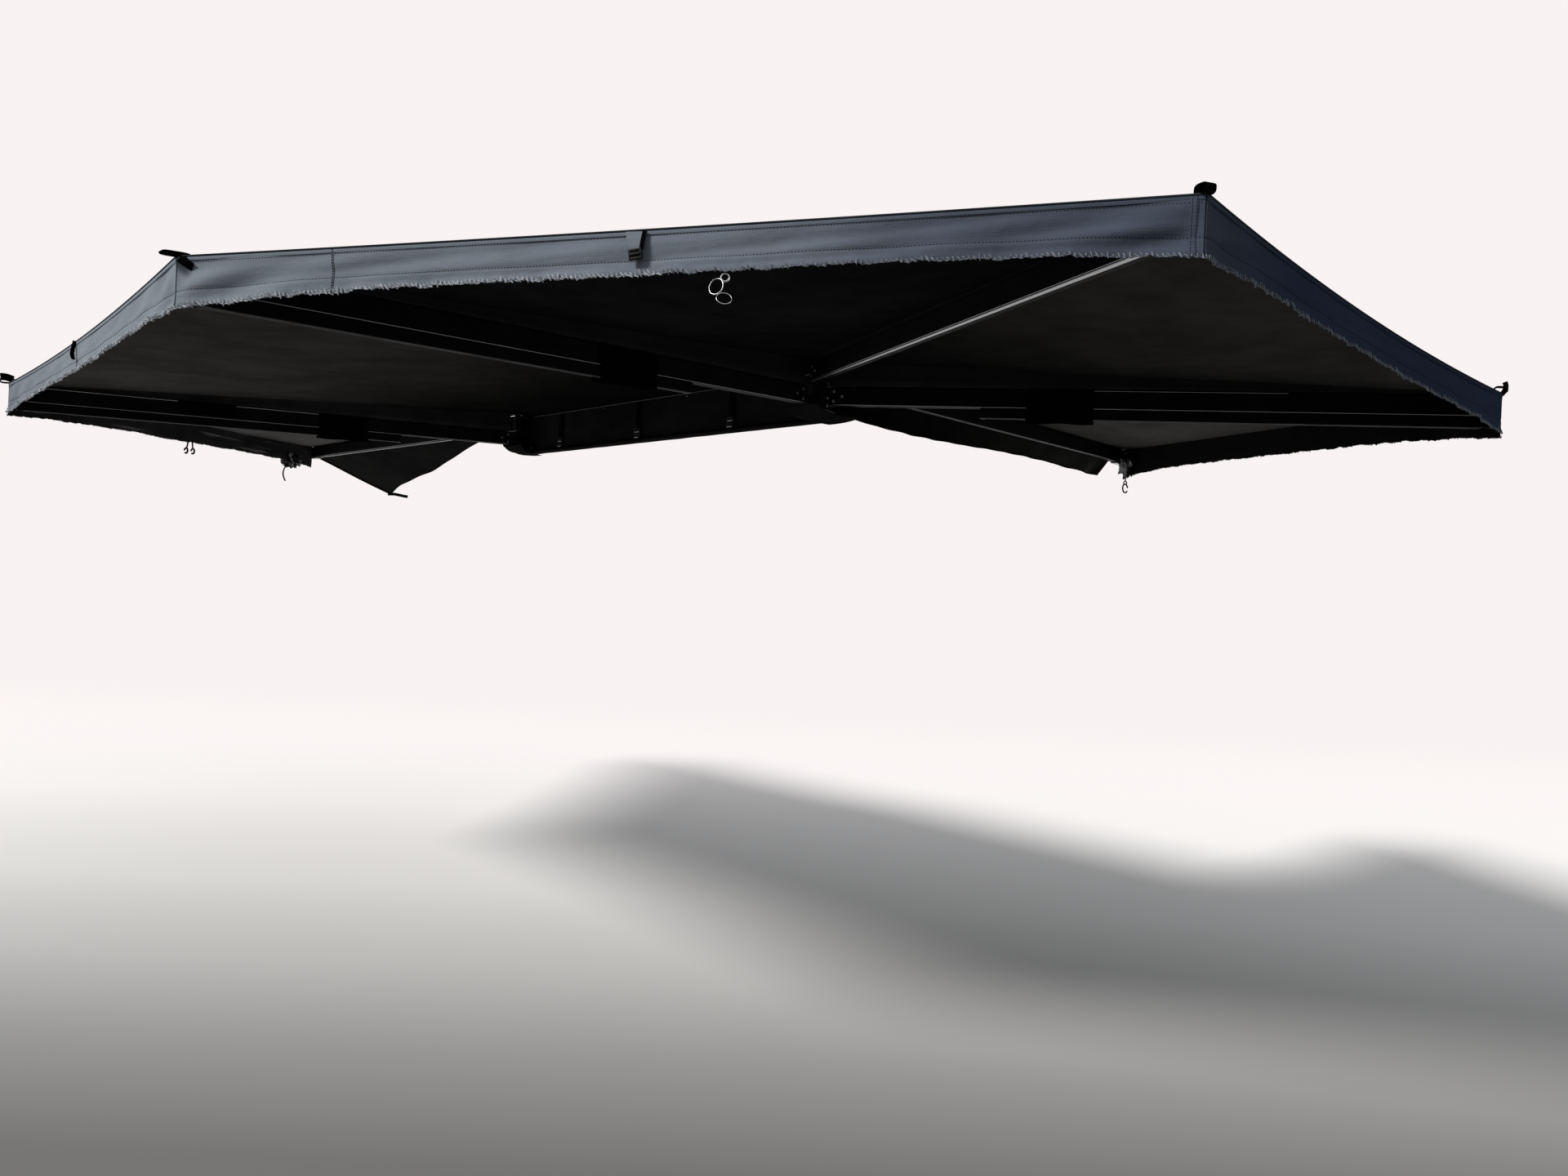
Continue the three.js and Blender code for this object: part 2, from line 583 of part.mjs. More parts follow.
// A leg's outer tube, with a solid rounded head at the pin
function legOuter(side) {
  const half = LEG_SIZE / 2;
  const tube = squareTube(half, LEG_WALL, LEG_START, LEG_PIN_X - LEG_HEAD / 2);
  const headShape = hullOf([
    ...arcPoints(LEG_PIN_X, 0, half, 0, 2 * Math.PI, ROUND_SIDES).slice(0, -1),
    [LEG_PIN_X - LEG_HEAD, half],
    [LEG_PIN_X - LEG_HEAD, -half],
  ]);
  const head = slabOf(headShape, -half, half).rotateX(Math.PI / 2);
  const bore = crossCylinder(LEG_PIN_RADIUS + FIT, -LEG_SIZE, LEG_SIZE, LEG_PIN_X, 0);
  return cut(join(tube, head), bore).translate(0, side * LANE_OFFSET, LEG_CENTRE_Z);
}

// A leg's inner tube, with the foot that stops it against the outer tube's mouth
function legInner(side) {
  const footFace = LEG_START - FIT;
  const tubeEnd = LEG_PIN_X - LEG_HEAD - INNER_LEG_END_ROOM;
  const tube = squareTube(INNER_LEG_HALF, INNER_LEG_WALL, footFace - FOOT_LENGTH / 2, tubeEnd);
  const half = LEG_SIZE / 2 + FOOT_LIP;
  const foot = barAlongX(shapeOf(roundedBox(half, half, LEG_CORNER)), footFace - FOOT_LENGTH, footFace);
  return join(tube, foot).translate(0, side * LANE_OFFSET, LEG_CENTRE_Z);
}

// A fabric wrap: three sides round an arm, open underneath
function armWrap(side, start, length, bottom) {
  const inner = WIDEST_HALF + WRAP_ROOM;
  const outer = inner + WRAP_THICKNESS;
  const top = HALF_HEIGHT + WRAP_ROOM;
  const shell = boxBetween(start, start + length, -outer, outer, bottom, top + WRAP_THICKNESS);
  const room = boxBetween(start - OVERRUN, start + length + OVERRUN, -inner, inner, bottom - OVERRUN, top);
  return cut(shell, room).translate(0, side * LANE_OFFSET, 0);
}

for (const [letter, arm] of Object.entries(ARMS)) {
  const pivot = new THREE.Group();
  pivot.position.set(arm.hub.x, arm.hub.y, arm.upper ? LEVEL_PITCH : 0);
  pivot.rotation.z = arm.angle;
  awning.add(pivot);
  const drooped = new THREE.Group();
  drooped.rotation.y = DROOP;
  pivot.add(drooped);
  addTo(pivot, `knuckle_${letter}`, armKnuckle(arm.side), castBlack);
  addTo(drooped, `arm_${letter}`, armExtrusion(arm.side), blackPaint);
  addTo(drooped, `cap_${letter}`, armCap(arm.side, arm.leg), castBlack);
  if (arm.leg) {
    addTo(drooped, `leg_${letter}_outer`, legOuter(arm.side), blackPaint);
    addTo(drooped, `leg_${letter}_inner`, legInner(arm.side), greyAlloy);
    const wrapBottom = LEG_CENTRE_Z - LEG_SIZE / 2 - WRAP_BELOW_LEG;
    addTo(drooped, `wrap_${letter}`, armWrap(arm.side, WRAP_START, WRAP_LENGTH, wrapBottom), webbing);
  }
  if (letter === 'b') {
    const outerWrap = armWrap(arm.side, OUTER_WRAP_START, OUTER_WRAP_LENGTH, HALF_HEIGHT - OUTER_WRAP_DROP);
    addTo(drooped, 'wrap_b_outer', outerWrap, webbing);
  }
}

// Points of the canopy's underside, over an arm's middle line at a distance from the hub bolt
function overArm(letter, distance) {
  const arm = ARMS[letter];
  const { angle } = arm;
  const laneY = arm.side * LANE_OFFSET * Math.min(1, distance / ARM_START);
  const level = arm.upper ? LEVEL_PITCH : 0;
  const cornerZ = level + (HALF_HEIGHT + CORNER_LIFT) * Math.cos(DROOP) - ARM_REACH * Math.sin(DROOP);
  const share = distance / CORNER_RADIUS;
  return new THREE.Vector3(
    arm.hub.x + distance * Math.cos(angle) - laneY * Math.sin(angle),
    arm.hub.y + distance * Math.sin(angle) + laneY * Math.cos(angle),
    CANOPY_APEX_Z + (cornerZ - CANOPY_APEX_Z) * share,
  );
}

// How much of the bow and sag each outer edge takes between its corners
const BOW_SHARES = { ab: 0.9, bc: 0.5, cd: 0.15, de: 0.65, ef: 0.9 };

// A canopy panel between two arms, from the hubs out to its outer edge, which bows in and sags
function panelPoint(first, second, u, v) {
  const distance = APEX_TRIM + (CORNER_RADIUS - APEX_TRIM) * v;
  const from = overArm(first, distance);
  const to = overArm(second, distance);
  const across = to.clone().sub(from);
  const seamShare = SEAM_GAP / across.length();
  const point = from.addScaledVector(across, seamShare + (1 - 2 * seamShare) * u);
  point.z -= CANOPY_SAG * 4 * u * (1 - u) * Math.sin(Math.PI * v) ** 2;
  const bowed = BOW_SHARES[first + second] * 4 * u * (1 - u) * v ** 3;
  const inward = inwardOf(overArm(first, CORNER_RADIUS), overArm(second, CORNER_RADIUS));
  point.addScaledVector(inward, EDGE_BOW * bowed);
  point.z -= EDGE_SAG * bowed;
  return point;
}

// The level direction from an outer edge towards the hubs
function inwardOf(from, to) {
  const along = to.clone().sub(from).setZ(0).normalize();
  return new THREE.Vector3(-along.y, along.x, 0);
}

function canopyPanel(first, second) {
  const up = new THREE.Vector3(0, 0, CANOPY_THICKNESS);
  if (ARMS[first].hub === ARMS[second].hub) {
    return sheetOf((u, v) => panelPoint(first, second, u, v), up, SHEET_STEPS, SHEET_STEPS);
  }
  // Between the two hubs the first row of the sheet lies on the rail's lip
  const lip = new THREE.Vector3(0, RAIL_DEPTH / 2, RAIL_TOP + KEDER_RADIUS + FIT);
  return sheetOf(
    (u, v) => {
      if (v > 0) return panelPoint(first, second, u, (v * (SHEET_STEPS + 1) - 1) / SHEET_STEPS);
      return lip.clone().setX(railEnd + (railStart - railEnd) * u);
    },
    up,
    SHEET_STEPS,
    SHEET_STEPS + 1,
  );
}

// A valance under a panel's outer edge: deepest at its corners, with soft folds that grow downwards
function valance(first, second, foldShare = 1) {
  const from = panelPoint(first, second, 0, 1);
  const to = panelPoint(first, second, 1, 1);
  const endShare = (VALANCE_THICKNESS + FIT) / from.distanceTo(to);
  const inward = inwardOf(from, to);
  const down = new THREE.Vector3(0, 0, -1);
  return sheetOf(
    (u, v) => {
      const drop = VALANCE_MID_DEPTH + (VALANCE_DEPTH - VALANCE_MID_DEPTH) * (2 * u - 1) ** 4;
      const fold = VALANCE_FOLD * foldShare * (1 - Math.cos(2 * Math.PI * VALANCE_FOLDS * u)) / 2;
      return panelPoint(first, second, endShare + (1 - 2 * endShare) * u, 1)
        .addScaledVector(down, FIT + drop * v)
        .addScaledVector(inward, fold * v);
    },
    inward.clone().multiplyScalar(VALANCE_THICKNESS),
    EDGE_STEPS,
    2,
  );
}

const PANELS = [['a', 'b'], ['b', 'c'], ['c', 'd'], ['d', 'e'], ['e', 'f']];
for (const [first, second] of PANELS) {
  addTo(awning, `panel_${first}${second}`, canopyPanel(first, second), canopyCloth);
  addTo(awning, `valance_${first}${second}`, valance(first, second), valanceCloth);
}

// Flap beyond arm a: widens and drops towards the arm's tip, with a waved free edge
function frontFlap() {
  return sheetOf(
    (u, v) => {
      const reach = FLAP_A_START + (ARM_REACH - CAP_PLATE - FLAP_A_START) * u;
      const growth = u * v;
      const wave = FLAP_A_WAVE * Math.sin(Math.PI * FLAP_A_WAVES * u) * v * u;
      return new THREE.Vector3(
        reach,
        -HALF_WIDTH - FIT - FLAP_A_WIDTH * growth - FLAP_EDGE_INSET * v,
        HALF_HEIGHT - FLAP_EDGE_INSET - FLAP_A_DROP * growth - FLAP_EDGE_INSET * v + wave,
      );
    },
    new THREE.Vector3(0, 0, CANOPY_THICKNESS),
    SHEET_STEPS,
    SHEET_STEPS / 2,
  );
}

// Flap beside arm f: hangs down in pleats that grow towards the hem, with a slanted outer end
function rearFlap() {
  const face = LANE_OFFSET + HALF_WIDTH + FIT;
  return sheetOf(
    (u, v) => new THREE.Vector3(
      FLAP_F_START + (ARM_REACH - CAP_PLATE - FLAP_F_START - FLAP_F_SLANT * v) * u,
      face + FLAP_PLEAT * Math.min(1, 4 * u) * (1 - Math.cos(2 * Math.PI * FLAP_PLEATS * u)) * v / 2,
      HALF_HEIGHT - FLAP_F_DROP * v,
    ),
    new THREE.Vector3(0, CANOPY_THICKNESS, 0),
    4 * FLAP_PLEATS,
    2,
  );
}

for (const [letter, name, flap] of [['a', 'flap_front', frontFlap()], ['f', 'flap_rear', rearFlap()]]) {
  const arm = ARMS[letter];
  const hanger = new THREE.Group();
  hanger.position.set(arm.hub.x, arm.hub.y, arm.upper ? LEVEL_PITCH : 0);
  hanger.rotation.set(0, DROOP, arm.angle, 'ZYX');
  awning.add(hanger);
  addTo(hanger, name, flap, canopyCloth);
}

// Webbing loops that stand on the canopy's outer corners, just past the end caps
const loopHoleCorner = LOOP_HEIGHT / 2 - LOOP_THICKNESS;
const loopShape = shapeOf(roundedBox(LOOP_LENGTH / 2, LOOP_HEIGHT / 2, LOOP_HEIGHT / 3));
loopShape.holes.push(shapeOf(
  roundedBox(LOOP_LENGTH / 2 - LOOP_THICKNESS, loopHoleCorner, LOOP_HEIGHT / 3 - LOOP_THICKNESS),
));
for (const letter of ['b', 'c', 'd', 'e']) {
  const seat = overArm(letter, ARM_REACH + OVERRUN + LOOP_LENGTH / 2);
  const fall = Math.atan2(overArm(letter, 0).z - overArm(letter, CORNER_RADIUS).z, CORNER_RADIUS);
  const holder = new THREE.Group();
  holder.position.copy(seat);
  holder.rotation.set(0, fall, ARMS[letter].angle, 'ZYX');
  awning.add(holder);
  const loop = new THREE.ExtrudeGeometry(loopShape, { depth: LOOP_WIDTH, bevelEnabled: false })
    .translate(0, 0, -LOOP_WIDTH / 2)
    .rotateX(Math.PI / 2)
    .translate(0, 0, CANOPY_THICKNESS + FIT + LOOP_HEIGHT / 2);
  addTo(holder, `tip_loop_${letter}`, loop, webbing);
}

// Set down so that the middle of the rail's back face is the origin
awning.position.z = RAIL_HEIGHT / 2 - RAIL_TOP;

const model = new THREE.Group();
model.add(awning);
export default model;
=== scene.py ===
# %% [markdown]
# # A free-standing awning for the side of a vehicle
#
# The real thing is a long rail on the side of a roof, with a hub at each end.
# Six arms swing on the two hubs and carry one coated canopy with a hanging
# valance. The measured frame already holds the rail, hubs, arms and legs in
# their real sizes. This lesson dresses them and sews the cloth. Everything is
# in metres: +X runs to the front, +Y away from the vehicle, +Z up.

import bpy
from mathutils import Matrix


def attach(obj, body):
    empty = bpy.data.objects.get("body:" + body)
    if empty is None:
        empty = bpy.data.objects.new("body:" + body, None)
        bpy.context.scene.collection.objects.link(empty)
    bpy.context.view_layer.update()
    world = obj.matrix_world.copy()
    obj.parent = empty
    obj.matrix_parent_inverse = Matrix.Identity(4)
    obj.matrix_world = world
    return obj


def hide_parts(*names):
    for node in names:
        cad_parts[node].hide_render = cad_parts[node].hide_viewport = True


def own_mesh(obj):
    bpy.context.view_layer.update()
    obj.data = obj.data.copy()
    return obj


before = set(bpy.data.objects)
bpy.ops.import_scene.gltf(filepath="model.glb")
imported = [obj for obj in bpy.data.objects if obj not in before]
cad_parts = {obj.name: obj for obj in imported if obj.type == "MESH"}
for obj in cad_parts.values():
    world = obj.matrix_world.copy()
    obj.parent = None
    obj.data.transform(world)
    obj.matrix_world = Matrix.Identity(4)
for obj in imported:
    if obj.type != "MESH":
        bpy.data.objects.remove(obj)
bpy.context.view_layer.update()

import math

import bmesh
import bpy
import numpy as np
from mathutils import Matrix, Vector, noise

# %% [markdown]
# ## Camera
#
# The picture is taken from under the canopy's outer corner, almost level, with
# a small roll. Yaw, pitch and roll are kept as three angles, because they are
# easier to read than a matrix; the matrix is worked out from them.

# %% Camera
EYE = Vector((-4.3648, 3.1529, -0.8096))
YAW, PITCH, ROLL = (math.radians(angle) for angle in (-41.968, 0.148, 2.677))
FOCAL_PIXELS, PICTURE_WIDTH, SENSOR = 1436.9, 1920, 36.0
FAR_END = 200

ahead = Vector((math.cos(YAW) * math.cos(PITCH), math.sin(YAW) * math.cos(PITCH), math.sin(PITCH)))
level_right = Vector((math.sin(YAW), -math.cos(YAW), 0))
level_up = level_right.cross(ahead)
camera_right = level_right * math.cos(ROLL) + level_up * math.sin(ROLL)
camera_up = level_up * math.cos(ROLL) - level_right * math.sin(ROLL)

camera_data = bpy.data.cameras.new("camera")
camera_data.sensor_width = SENSOR
camera_data.lens = SENSOR * FOCAL_PIXELS / PICTURE_WIDTH
camera_data.clip_end = FAR_END
camera = bpy.data.objects.new("camera", camera_data)
bpy.context.scene.collection.objects.link(camera)
turn = Matrix((camera_right, camera_up, -ahead)).transposed().to_4x4()
camera.matrix_world = Matrix.Translation(EYE) @ turn
bpy.context.scene.camera = camera
print("lens", round(camera_data.lens, 2), "mm")

# %% [markdown]
# ## A short way to write node trees
#
# A material's pattern is a sum of masks and noises. Written as nodes it is long,
# so a small class wraps a socket and lets +, -, * and / add the Math nodes.
# `Tree` adds any other node from its type, its settings and its inputs. `Recipe`
# is the tree of one material; what is the same all over goes straight on its
# shader.

# %% Node helpers
class Tap:
    """One output socket, usable in sums."""

    def __init__(self, tree, socket):
        self.tree, self.socket = tree, socket

    def __add__(self, other):
        return self.tree.math("ADD", self, other)

    def __sub__(self, other):
        return self.tree.math("SUBTRACT", self, other)

    def __mul__(self, other):
        return self.tree.math("MULTIPLY", self, other)

    def __truediv__(self, other):
        return self.tree.math("DIVIDE", self, other)


class Tree:
    """Adds nodes to a node tree."""

    def __init__(self, tree):
        self.tree = tree

    def feed(self, socket, value):
        if isinstance(value, Tap):
            self.tree.links.new(value.socket, socket)
        else:
            socket.default_value = value

    def node(self, kind, settings=None, values=None, out=0):
        made = self.tree.nodes.new(kind)
        for setting, value in (settings or {}).items():
            if setting == "stops":
                ramp = made.color_ramp.elements
                while len(ramp) < len(value):
                    ramp.new(0.5)
                for element, (place, colour) in zip(ramp, value):
                    element.position, element.color = place, (*colour, 1)
            else:
                setattr(made, setting, value)
        for key, value in (values or {}).items():
            self.feed(made.inputs[key], value)
        return Tap(self, made.outputs[out])

    def math(self, operation, first, second=0.0):
        return self.node("ShaderNodeMath", {"operation": operation}, {0: first, 1: second})

    def dot(self, first, second):
        settings = {"operation": "DOT_PRODUCT"}
        return self.node("ShaderNodeVectorMath", settings, {0: first, 1: second}, out="Value")

    def split(self, vector):
        made = self.tree.nodes.new("ShaderNodeSeparateXYZ")
        self.feed(made.inputs[0], vector)
        return [Tap(self, socket) for socket in made.outputs]

    def seen(self, kind):
        """1 for camera rays, or for glossy rays."""
        return self.node("ShaderNodeLightPath", out=f"Is {kind} Ray")


class Recipe(Tree):
    """A material in the making."""

    def __init__(self, name, **constants):
        self.material = bpy.data.materials.new(name)
        self.material.use_nodes = True
        super().__init__(self.material.node_tree)
        self.shader = self.tree.nodes["Principled BSDF"]
        for words, value in constants.items():
            self.shader.inputs[words.replace("_", " ")].default_value = value

    def place(self, kind="Object"):
        return self.node("ShaderNodeTexCoord", out=kind)

    def noise(self, scale, detail=2, where="Object", stretch=None):
        vector = self.place(where)
        if stretch:
            vector = self.node("ShaderNodeMapping", {}, {"Vector": vector, "Scale": stretch})
        return self.node("ShaderNodeTexNoise", {}, {"Vector": vector, "Scale": scale, "Detail": detail})

    def between(self, low, high, tap):
        """0 below low, 1 above high, smooth in between."""
        values = {"Value": tap, "From Min": low, "From Max": high}
        return self.node("ShaderNodeMapRange", {"interpolation_type": "SMOOTHSTEP"}, values)

    def blend(self, first, second, share, how="MIX"):
        made = self.tree.nodes.new("ShaderNodeMix")
        made.data_type, made.blend_type = "RGBA", how
        for key, value in ((0, share), (6, first), (7, second)):
            self.feed(made.inputs[key], (*value, 1) if isinstance(value, tuple) else value)
        return Tap(self, made.outputs[2])

    def surface(self, colour, rough):
        self.feed(self.shader.inputs["Base Color"], colour)
        self.feed(self.shader.inputs["Roughness"], rough)

    def relief(self, height, strength, distance):
        values = {"Height": height, "Strength": strength, "Distance": distance}
        self.feed(self.shader.inputs["Normal"], self.node("ShaderNodeBump", {}, values))
        return self.material

# %% [markdown]
# ## Finishes
#
# The canopy is one coated cloth with two faces: slate blue outside and matte
# black inside. Its weave is a fine ripstop square, drawn on the cloth's own UV,
# which is in metres of cloth. Larger stains and slack areas come from noise on
# object coordinates, so that they run on across the seams.

# %% Cloth finishes
RIPSTOP, THREAD_EDGE = 0.006, (0.40, 0.49)
HUB_REACH, HUB_LINE = 1.175, 0.130
# The underside's painted shade is full near the rail and gone at the outer of these distances from it.
HUB_SHADE_REACH = (0.15, 2.15)


def ripstop(recipe, pitch):
    """A mask of thin crossing threads, on UV in metres."""
    along, across, _ = recipe.split(recipe.place("UV"))
    first, second = (
        recipe.between(*THREAD_EDGE, recipe.math("PINGPONG", way / pitch, 0.5)) for way in (along, across)
    )
    return recipe.math("MAXIMUM", first, second)


def from_rail(recipe):
    """Level distance from the line between the two hubs, in metres."""
    x, y, _ = recipe.split(recipe.place())
    past = recipe.math("MAXIMUM", recipe.math("ABSOLUTE", x) - HUB_REACH, 0.0)
    out = y - HUB_LINE
    return recipe.math("SQRT", past * past + out * out)


def coated_cloth(name, dark=None, light=None, rough=0.85, sun_ramp=None, hub_shade=None, fold_highlight=None):
    """Ripstop cloth. sun_ramp: painted light and shade, the colours from the end in shade to the sunlit end.
    hub_shade: painted shade towards the hubs, the share of its lightness that is left there.
    fold_highlight: a painted highlight colour, laid in long streaks where folds would catch the light."""
    recipe = Recipe(name, Specular_IOR_Level=0.0)
    stain, cloud = recipe.noise(1.6, 4), recipe.noise(9, 3)
    threads = ripstop(recipe, RIPSTOP)
    shade = recipe.between(0.34, 0.68, stain * 0.6 + cloud * 0.4)
    if sun_ramp:
        # Painted light and shade: lighter towards the sunlit front and outer side, darker towards the rear
        # side, which is in shade.
        side = recipe.dot(recipe.place(), (0.6, 0.8, 0))
        light = recipe.node("ShaderNodeValToRGB", {"stops": sun_ramp}, {"Fac": side * 0.1667 + 0.5})
        dark = recipe.blend(light, (0.5, 0.5, 0.5), 0.28, "MULTIPLY")
    mixed = recipe.blend(recipe.blend(dark, light, shade), light, threads * 0.25)
    # Painted shade: the underside darkens towards the hubs, deep under the canopy.
    if hub_shade is not None:
        unshaded = recipe.between(*HUB_SHADE_REACH, from_rail(recipe)) * (1 - hub_shade) + hub_shade
        mixed = recipe.blend((0.0, 0.0, 0.0), mixed, unshaded)
    if fold_highlight:
        # Painted highlights: long light streaks along the cloth, standing for light on the backs of folds.
        highlit_streaks = recipe.between(0.56, 0.70, recipe.noise(1.0, 3, "UV", (1.8, 38, 1)))
        mixed = recipe.blend(mixed, fold_highlight, highlit_streaks)
    recipe.surface(mixed, recipe.between(0.2, 0.9, cloud) * 0.12 + rough)
    grain, crumple = recipe.noise(700, 1), recipe.noise(26, 4, stretch=(1, 1, 2.2))
    return recipe.relief(threads * 0.25 + grain * 0.15 + crumple * 2.2, 0.6, 0.0012)


# Painted light and shade for the valances: dark on the rear side in shade, light on the side the sun falls
# on.
SUN_SHADE_RAMP = [
    (0.065, (0.027, 0.037, 0.068)), (0.27, (0.029, 0.039, 0.068)), (0.325, (0.052, 0.063, 0.088)),
    (0.41, (0.082, 0.096, 0.126)), (0.47, (0.162, 0.185, 0.222)), (0.70, (0.186, 0.214, 0.244)),
    (0.84, (0.205, 0.236, 0.262)), (0.95, (0.160, 0.184, 0.206)),
]
SLATE = coated_cloth("slate_cloth", (0.070, 0.084, 0.104), (0.090, 0.106, 0.128), 0.80)
SUN_SHADED_SLATE = coated_cloth("faded_slate_cloth", sun_ramp=SUN_SHADE_RAMP)
LINING = coated_cloth("black_lining", (0.0060, 0.0060, 0.0062), (0.0105, 0.0104, 0.0102))
# Copies of the one black lining with painted light and shade: each bay's underside is painted lighter or
# darker as that bay is lit, and each copy also has painted shade towards the hubs.
LIT_LINING = coated_cloth(
    "worn_black_lining", (0.0285, 0.0275, 0.0262), (0.0470, 0.0455, 0.0436), hub_shade=0.12
)
BRIGHTLY_LIT_LINING = coated_cloth(
    "washed_black_lining", (0.0480, 0.0465, 0.0440), (0.0790, 0.0770, 0.0735), hub_shade=0.42
)
SHADED_LINING = coated_cloth(
    "deep_black_lining", (0.0070, 0.0070, 0.0074), (0.0135, 0.0135, 0.0142), hub_shade=0.7
)
# The AB valance's dark lining, with painted fold highlights.
FOLD_HIGHLIT_LINING = coated_cloth(
    "creased_black_lining", (0.0110, 0.0110, 0.0114), (0.0190, 0.0190, 0.0190), fold_highlight=(0.095, 0.095, 0.098)
)
SLEEVE_CLOTH = coated_cloth("sleeve_cloth", (0.0130, 0.0130, 0.0150), (0.0240, 0.0240, 0.0265))
BAG_CLOTH = coated_cloth("bag_cloth", (0.0085, 0.0085, 0.0086), (0.0165, 0.0165, 0.0166), 0.80)
EDGE_CLOTH = coated_cloth("dark_edge_cloth", (0.018, 0.021, 0.026), (0.034, 0.039, 0.046), 0.80)

# %% [markdown]
# Webbing is woven in short slanted ribs. A wave across the UV gives the ribs,
# and its bump is what makes a strap read as woven at close range.

# %% Webbing, thread and metal finishes
def ribbed(name, dark, light, pitch=0.0012, rough=0.75):
    recipe = Recipe(name, Specular_IOR_Level=0.0)
    wave = recipe.node("ShaderNodeTexWave", {"bands_direction": "DIAGONAL"}, {
        "Vector": recipe.place("UV"), "Scale": 0.31 / pitch, "Distortion": 0.6,
        "Detail": 1, "Detail Scale": 40,
    })
    wear = recipe.between(0.35, 0.75, recipe.noise(60, 3))
    recipe.surface(recipe.blend(dark, light, wave * 0.6 + wear * 0.4), wear * 0.15 + rough)
    return recipe.relief(wave, 0.6, 0.0005)


def painted(name, dark, light, metallic, rough, grain, gloss):
    recipe = Recipe(name, Metallic=metallic, Specular_IOR_Level=gloss)
    dust = recipe.between(0.42, 0.78, recipe.noise(7, 5))
    scuff = recipe.between(0.60, 0.72, recipe.noise(95, 2))
    mixed = recipe.blend(dark, light, dust * 0.7 + scuff * 0.3)
    recipe.surface(mixed, dust * 0.14 + scuff * 0.08 + rough)
    return recipe.relief(recipe.noise(grain, 2) + scuff * 0.3, 0.25, 0.0004)


def bunched(name, dark, light):
    """Cloth pulled together in a knot: narrow folds, with painted highlights on their backs."""
    recipe = Recipe(name, Specular_IOR_Level=0.1)
    folds = recipe.noise(30, 3, stretch=(1, 1, 0.4))
    recipe.surface(recipe.blend(dark, light, recipe.between(0.50, 0.64, folds)), folds * 0.2 + 0.5)
    return recipe.relief(folds, 0.9, 0.004)


WEBBING = ribbed("black_webbing", (0.0012, 0.0012, 0.0014), (0.0042, 0.0042, 0.0046), 0.0022, 0.80)
PALE_THREAD = ribbed("pale_thread", (0.32, 0.34, 0.37), (0.60, 0.62, 0.64))
DIM_THREAD = ribbed("worn_thread", (0.150, 0.165, 0.190), (0.290, 0.310, 0.335))
SOFT_THREAD = ribbed("slate_thread", (0.060, 0.070, 0.086), (0.100, 0.115, 0.135), rough=0.7)
DARK_THREAD = ribbed("dark_thread", (0.012, 0.015, 0.021), (0.030, 0.035, 0.045), rough=0.7)
HIGHLIT_KNOT_CLOTH = bunched("bunched_cloth", (0.005, 0.005, 0.006), (0.42, 0.42, 0.43))
PAINTS = {
    "black_powder_coat": ((0.0035, 0.0035, 0.0042), (0.0095, 0.0095, 0.0105), 0.0, 0.62, 900, 0.05),
    "black_casting": ((0.0035, 0.0035, 0.0038), (0.0100, 0.0100, 0.0105), 0.0, 0.60, 420, 0.08),
    "dark_tube": ((0.006, 0.006, 0.007), (0.014, 0.014, 0.015), 0.3, 0.55, 1200, 0.1),
    # Bright alloy: the end shoes, and the beads that are painted highlights on the arms' edges.
    "bare_alloy": ((0.30, 0.31, 0.32), (0.50, 0.50, 0.50), 0.9, 0.30, 1200, 0.5),
    "bright_zinc": ((0.50, 0.51, 0.52), (0.70, 0.70, 0.69), 1.0, 0.22, 700, 0.5),
    "black_moulding": ((0.0045, 0.0045, 0.0055), (0.0110, 0.0110, 0.0120), 0.0, 0.50, 300, 0.10),
}
POWDER, CASTING, DARK_TUBE, HIGHLIGHT_ALLOY, ZINC, MOULDED = (
    painted(name, *look) for name, look in PAINTS.items()
)
print("finishes", len(bpy.data.materials))

# %% [markdown]
# ## Give the measured metal its finish
#
# Rail, hubs, arms, caps and legs keep the shapes of the frame. Only their
# material slots change.

# %% Dress the metal of the frame
METAL = {
    "base_rail": POWDER, "arm_": POWDER, "knuckle_": CASTING, "cap_": CASTING,
    "_outer": POWDER, "_inner": DARK_TUBE, "_block": CASTING, "_plate": CASTING, "_bolt": ZINC,
}
SOFT = ("bag", "panel", "valance", "flap", "wrap", "tip_loop")
dressed = 0
for node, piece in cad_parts.items():
    if node.startswith(SOFT):
        continue
    finish = next(material for words, material in METAL.items() if words in node)
    for place in piece.material_slots:
        place.material = finish
    if not piece.material_slots:
        piece.data.materials.append(finish)
    dressed += 1
print("metal nodes dressed", dressed)

# %% [markdown]
# ## The plan of the awning
#
# All cloth hangs from the same few lines: the arms. These are the sizes of the
# frame again, and one function that gives the canopy's underside over an arm at
# a distance from its hub.

# %% Plan
DROOP = math.radians(1.4)
LEVEL_PITCH, SET_DOWN = 0.078, -0.078
ARM_REACH, HALF_HEIGHT, HALF_WIDTH = 2.210, 0.033, 0.020
CORNER_RADIUS, CORNER_RISE, APEX_TRIM, APEX_Z = 2.238, 0.037, 0.016, 0.132
LANE, LANE_START = 0.025, 0.053
FRONT_HUB, REAR_HUB = (1.175, 0.092), (-1.175, 0.167)
ARMS = {
    "a": (FRONT_HUB, 6.8, 1, 0), "b": (FRONT_HUB, 82.0, 0, 0), "c": (REAR_HUB, 95.0, 0, -1),
    "d": (REAR_HUB, 156.5, 1, -1), "e": (REAR_HUB, 208.7, 0, 1), "f": (REAR_HUB, 271.8, 1, 1),
}


